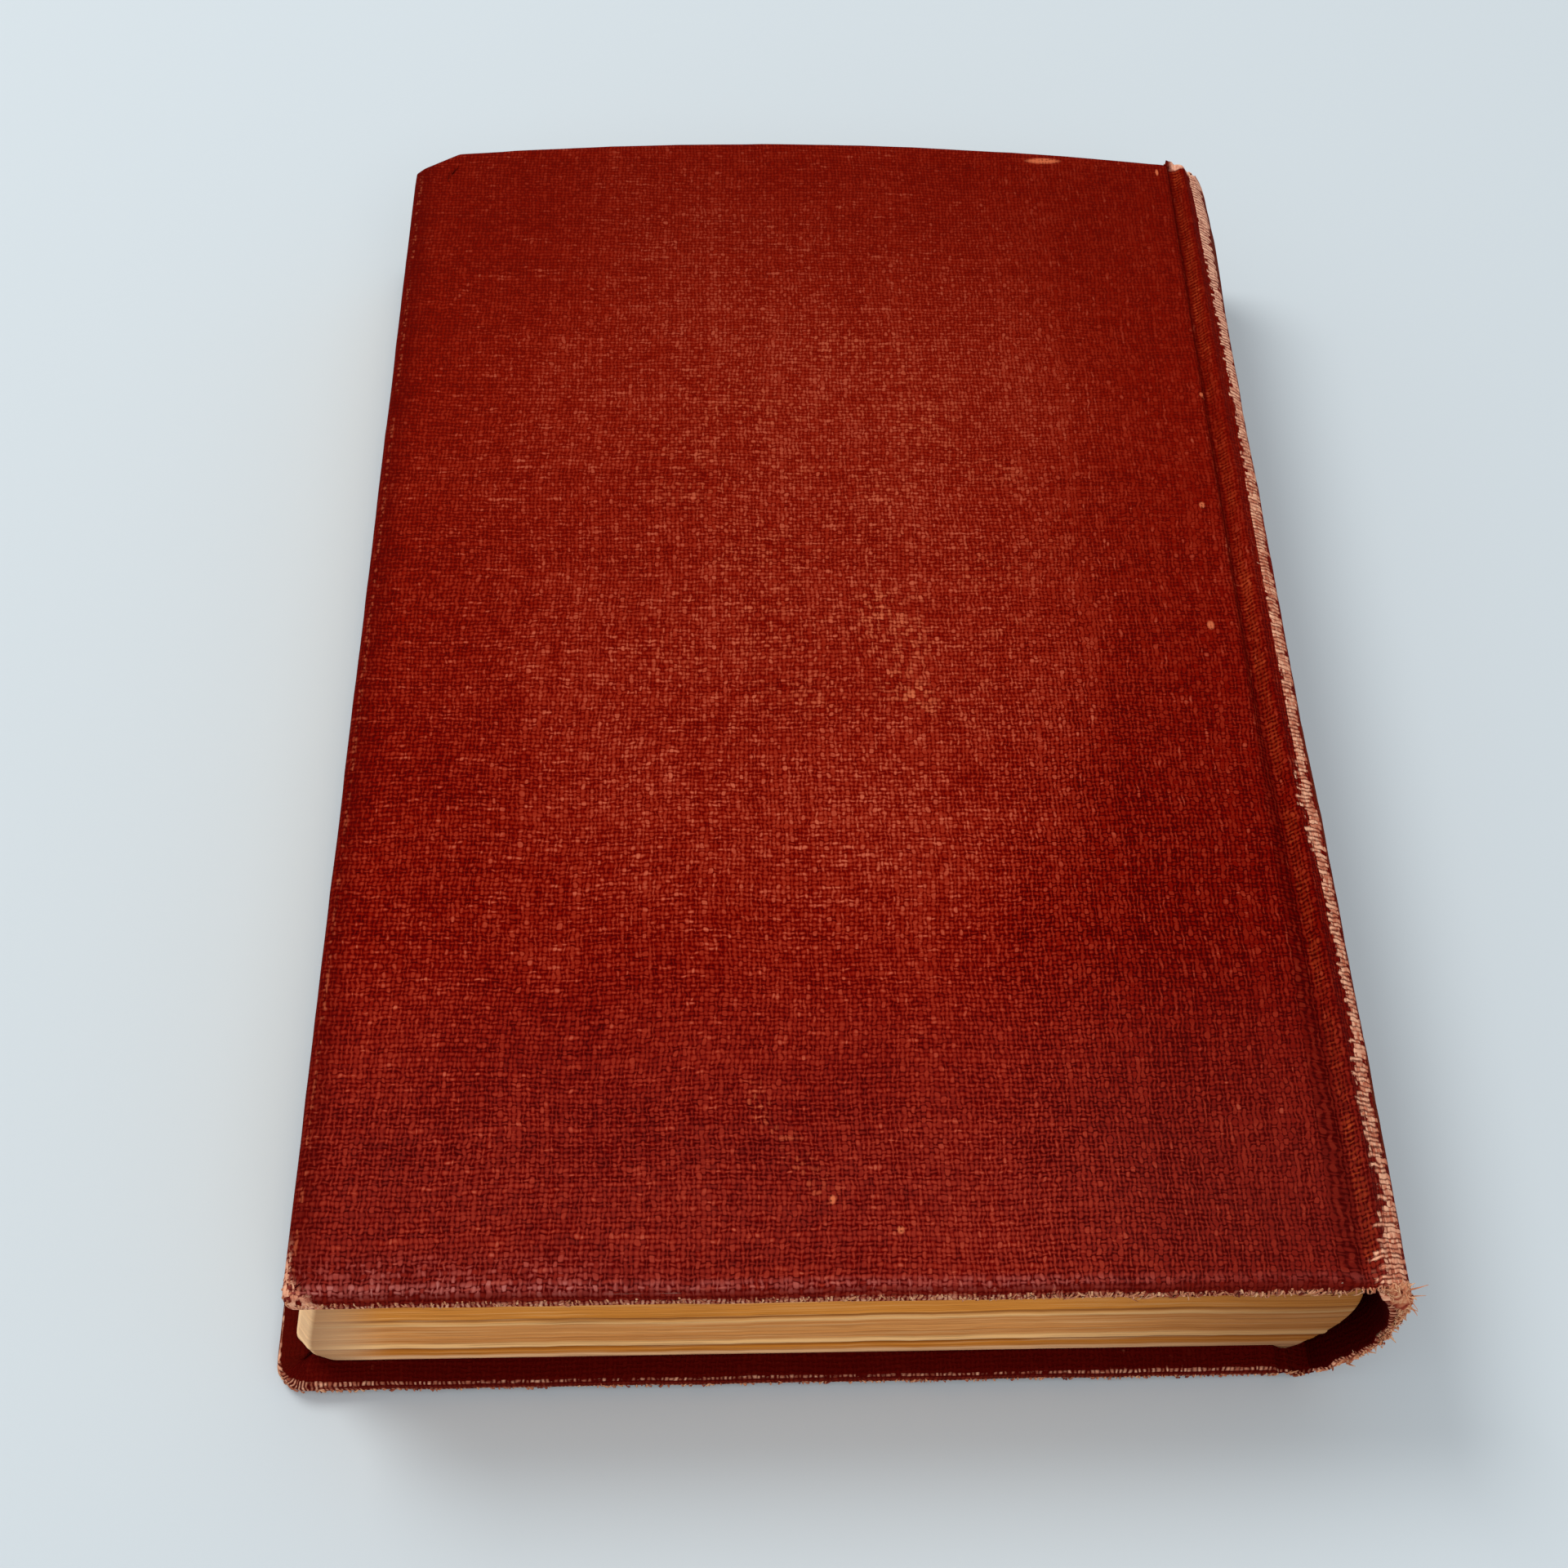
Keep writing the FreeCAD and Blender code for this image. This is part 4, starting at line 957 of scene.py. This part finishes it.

    # Bare thread on the spine's shoulder, painted shade past it, the folds, the worn corner and the head cap.
    fold = f.attribute("fold")
    inside = f.attribute("inside")
    band = f.attribute("band")
    outside = top * (1.0 - inside).clamped()
    strip = abs(band + (weft_kind - 0.5) * 0.9 + (slub - 0.5) * 1.2 + (dirt - 0.5)).step(1.15, 0.8)
    threads = (across_weft * 1.8 - 0.3).clamped() * (weft_kind * 0.5 + slub * 1.1 + 0.3)
    threads = (threads + loose * 1.4).clamped()
    # Painted shade past the bare strip, where the spine turns steeply away.
    shade_past_strip = band.step(1.1, 1.5) * v.step(-0.002, 0.0) * (0.3 + slub * 0.5)
    uneven = fold + (dirt - 0.5) * 1.1 + (chance - 0.5) * 0.4 + loose * 0.6 + fold.step(0.3, 0.6) * 0.16
    edges = fold * uneven.step(0.5, 0.74)
    crease = fold.step(0.02, 0.1) * uneven.step(0.72, 0.5) * 0.5
    corner = (u + v * 0.95 + loose * 0.003).step(0.0038, 0.0026)
    corner = corner.at_least((u + loose * 0.0012).step(0.0009, 0.0004) * v.step(0.0085, 0.003))
    corner = corner * (fluff * 1.2 + slub * 0.5 - 0.7).step(0.0, 0.2) * outside
    cap = (v + loose * 0.0012).step(0.1894, 0.1902) * (u + loose * 0.001).step(0.1172, 0.1186)
    cap = cap * outside * (fluff * 0.7 + 0.55)
    knots = (across_warp * 0.8 + fluff * 0.9 - 0.5).clamped()
    shown = edges * knots * (slub * 1.2 + 0.5) + corner * 0.9
    shown = strip * (threads * 1.2 + 0.2) + shown * (1.0 - strip)
    shown = (shown * (1.0 - inside.step(0.99, 1.0)) + cap).clamped()
    tan = f.mix(slub.step(0.25, 0.75), (196, 110, 82), (242, 178, 144))
    # Paler towards the head: painted light, as the strip there slopes away from the lamps.
    tan = f.mix(v.step(0.12, 0.17) * 0.45, tan, (252, 196, 168))

    for amount, colour in (
            (y.step(-0.06, 0.08) * 0.5, (114, 15, 0)), (y.step(-0.045, -0.09) * crown * 0.2, (150, 66, 54)),
            # Painted shade in the joint, groove, head and fore-edge; painted highlight on the ridge.
            (shade, (78, 2, 0)), (groove * 0.3, (64, 1, 0)), (ridge, (172, 66, 28)),
            # Painted shade on the spine past the ridge, where it turns away from the lamps.
            (u.step(GROOVE + 0.002, GROOVE + 0.0027) * 0.2, (88, 4, 0)), (faded, (172, 96, 88)),
            # Rubbed pale marks, then painted shade past the bare strip.
            (pale, (208, 106, 68)), (shade_past_strip, (104, 46, 24)),
            ((strip * 0.6 + edges + corner).clamped() * 0.5 + crease, (88, 8, 2)),
            # Turned-in cloth: its unfaded deep red, made darker as painted shade, darkest in the spine's
            # hollow.
            ((inside * 0.85).clamped(), f.mix((inside - 1.0).clamped(), (72, 3, 1), (56, 1, 0))),
            (shown, tan)):
        red = f.mix(amount, red, colour)
    f.set("Base Color", red)
    f.set("Roughness", (0.84 + crown * 0.1).clamped())
    f.bump(crown * 0.8 + slub * 0.3, 0.0002, 0.7)
    return f.material


def thread_finish():
    """Loose undyed threads, some still red from the dye."""
    f = Finish("frayed_thread", 0.9, 0.2)
    dust = f.noise(f.place(), 900.0, 2.0)
    f.set("Base Color", f.ramp(f.attribute("tone") + (dust - 0.5) * 0.5, [
        (0.0, 84, 12, 6), (0.3, 146, 58, 38), (0.62, 208, 136, 98), (1.0, 232, 178, 136)]))
    f.bump(dust, 0.0002, 0.6)
    return f.material


# Tones of the leaves' cut edges: height, red, green and blue.
LEAF_TONES = [(2.9, 236, 176, 128), (3.6, 244, 190, 138), (4.1, 208, 126, 44), (5.0, 212, 130, 44),
              (5.45, 120, 58, 14), (5.75, 128, 64, 18), (6.1, 252, 200, 138), (6.7, 244, 188, 122),
              (7.4, 206, 132, 66), (9.8, 220, 150, 84), (11.5, 210, 138, 74), (12.1, 252, 200, 134),
              (12.7, 226, 156, 84), (13.2, 126, 68, 20), (13.7, 220, 140, 54), (22.0, 216, 140, 66)]


def leaf_finish():
    """Cut edges of browned leaves: bands of tone by level, fine lines of single leaves, darker towards the
    spine. The outer pages are plain toned paper."""
    f = Finish("browned_leaves", 0.9, 0.1)
    place = f.place()
    x, _, _ = f.split(place)
    level = f.attribute("level")
    page = f.attribute("page")
    run, _, _ = f.split(f.unrolled())
    stain = f.noise(place, 45.0, 4.0, 0.6)
    line = f.noise(f.join(run * 34.0, level * 62.0, 0.0), 1.0, 3.0, 0.65)
    hair = f.noise(f.join(run * 90.0, level * 190.0, 3.0), 1.0, 2.0, 0.6)
    at = (level + (stain - 0.5) * 0.012 + (line - 0.5) * 0.008).clamped()
    colour = f.ramp(at, [(height / TONE_HEIGHT, *tone) for height, *tone in LEAF_TONES])
    dark = ((0.5 - line) * 3.2).clamped() * 0.75 + ((0.5 - hair) * 3.0).clamped() * 0.6
    for amount, tone in (
            (dark.clamped(), (126, 68, 22)), (((line - 0.53) * 3.4).clamped() * 0.8, (246, 200, 144)),
            # First, paler at the fore-edge corner: painted light on its facet; then darker towards the spine.
            (x.step(-0.05, -0.0605) * 0.8, (244, 202, 156)), (x.step(0.015, 0.058) * 0.62, (112, 64, 30)),
            (f.attribute("arris") * 0.6, (132, 76, 34)),
            (page, f.mix(stain, (230, 212, 174), (202, 176, 132)))):
        colour = f.mix(amount, colour, tone)
    f.set("Base Color", colour)
    f.bump((line * 0.7 + hair * 0.3) * (1.0 - page), 0.00022, 0.7)
    return f.material


def paper_finish(name, pale, toned, fibre_size):
    """Plain toned paper with faint fibres and foxing."""
    f = Finish(name, 0.86, 0.25)
    place = f.place()
    cloud = f.noise(place, 30.0, 4.0, 0.6)
    fibre = f.noise(place, fibre_size, 3.0, 0.7)
    spot = (f.noise(place, 240.0, 2.0) - 0.68).step(0.0, 0.06)
    colour = f.mix((cloud * 1.3 - 0.2 + (fibre - 0.5) * 0.4).clamped(), pale, toned)
    f.set("Base Color", f.mix(spot * 0.5, colour, (150, 100, 56)))
    f.bump(fibre, 0.0001, 0.3)
    return f.material


def card_finish(name, pale, dark):
    """Grey board or card: matted fibres and specks, with threads of the cap stuck to its head end."""
    f = Finish(name, 0.92, 0.2)
    place = f.place()
    mat = f.noise(place, 420.0, 4.0, 0.7)
    speck = (f.noise(place, 1500.0, 1.0) - 0.66).step(0.0, 0.05)
    colour = f.mix(speck * 0.6, f.mix(mat.step(0.35, 0.7), dark, pale), (70, 58, 48))
    _, y, _ = f.split(place)
    f.set("Base Color", f.mix((y + mat * 0.001).step(0.0928, 0.0934) * 0.8, colour, (190, 122, 96)))
    f.bump(mat, 0.0002, 0.5)
    return f.material


cloth = book_cloth()
threads = thread_finish()
back = CoverShape("back", True, BACK_LOW, BACK_HIGH, BACK_BOARD_EDGE, BACK_RIDGE)
front = CoverShape("front", False, FRONT_LOW, FRONT_HIGH, FRONT_BOARD_EDGE, FRONT_RIDGE)
back_cloth = make_cover_cloth(back, cloth)
front_cloth = make_cover_cloth(front, cloth)
spine_cloth = make_spine_cloth(cloth)
make_leaves(leaf_finish())
back_threads = edge_loops(back, threads, 61, 3.0, lambda at, corner: 0.9 - 0.35 * smooth(at, 55.0, 75.0))
front_threads = edge_loops(
    front, threads, 67, 6.0,
    lambda at, corner: 0.34 + 0.5 * np.exp(-np.abs(at - corner) / 5.0) + 0.4 * fade(at - 2.0, 9.0))
spine_fray = make_fray(threads)
spine_threads = spine_end_threads(threads)

endpaper = paper_finish("toned_endpaper", (226, 208, 172), (206, 182, 140), 900.0)
lining = paper_finish("glued_lining_paper", (128, 100, 70), (88, 64, 42), 700.0)
board = card_finish("grey_millboard", (178, 166, 146), (128, 116, 98))
card = card_finish("brown_spine_card", (112, 82, 56), (72, 50, 34))
for node, material in (("front_pastedown", endpaper), ("back_pastedown", endpaper), ("front_board", board),
                       ("back_board", board), ("spine_inlay", card), ("spine_lining", lining)):
    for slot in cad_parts[node].material_slots:
        slot.material = material


# Floor, light and camera

def make_floor():
    mesh = bpy.data.meshes.new("pale_floor")
    reach = 3.0
    mesh.from_pydata([(-reach, -reach, 0), (reach, -reach, 0), (reach, reach, 0), (-reach, reach, 0)], [],
                     [(0, 1, 2, 3)])
    floor = linked("pale_floor", mesh)
    floor.location.z = -0.0002
    finish = Finish("pale_floor", 0.9, 0.1)
    finish.set("Base Color", (206, 216, 222))
    mesh.materials.append(finish.material)


def add_area_light(name, spot, size, power, tint):
    """A round lamp that looks at the origin."""
    light = bpy.data.lights.new(name, "AREA")
    light.shape = "DISK"
    light.size = size
    light.energy = power
    light.color = tint
    lamp = linked(name, light)
    lamp.location = spot
    lamp.rotation_euler = Vector(spot).to_track_quat("Z", "Y").to_euler()


def make_camera():
    """Camera found from the book's edges in the photograph; its spot is counted from the back cover's tail
    fore-edge corner, and it looks down, a little to the right, with a slight roll. Its focal length and its
    picture's middle are in pixels."""
    down, turn, roll = 0.931687, 0.111334, 0.087977
    width, focal, middle_x, middle_y = 1920, 2986.13, 1109.87, 975.86
    ahead = np.array([np.sin(turn) * np.cos(down), np.cos(turn) * np.cos(down), -np.sin(down)])
    level = np.array([np.cos(turn), -np.sin(turn), 0.0])
    upright = np.cross(level, ahead)
    right = np.cos(roll) * level + np.sin(roll) * upright
    up = -np.sin(roll) * level + np.cos(roll) * upright
    spot = np.array([BACK_LOW[0] + 49.8935, TAIL - 114.519, 271.1508]) * MM
    data = bpy.data.cameras.new("camera")
    data.sensor_width = 36.0
    data.lens = focal / width * data.sensor_width
    data.shift_x = (width / 2 - middle_x) / width
    data.shift_y = (middle_y - width / 2) / width
    data.clip_start = 0.01
    camera = linked("camera", data)
    camera.matrix_world = Matrix([*np.column_stack([right, up, -ahead, spot]).tolist(), [0, 0, 0, 1]])
    bpy.context.scene.camera = camera


make_floor()
world = bpy.data.worlds.new("studio")
world.use_nodes = True
background = world.node_tree.nodes["Background"]
background.inputs["Color"].default_value = (0.97, 0.985, 1.0, 1.0)
background.inputs["Strength"].default_value = 0.62
bpy.context.scene.world = world
add_area_light("window", (-0.7, 0.55, 1.1), 0.7, 9.0, (1.0, 0.98, 0.95))
add_area_light("fill", (0.3, -1.2, 1.3), 0.9, 6.5, (1.0, 0.98, 0.96))
make_camera()
bpy.context.scene.view_settings.view_transform = "Standard"
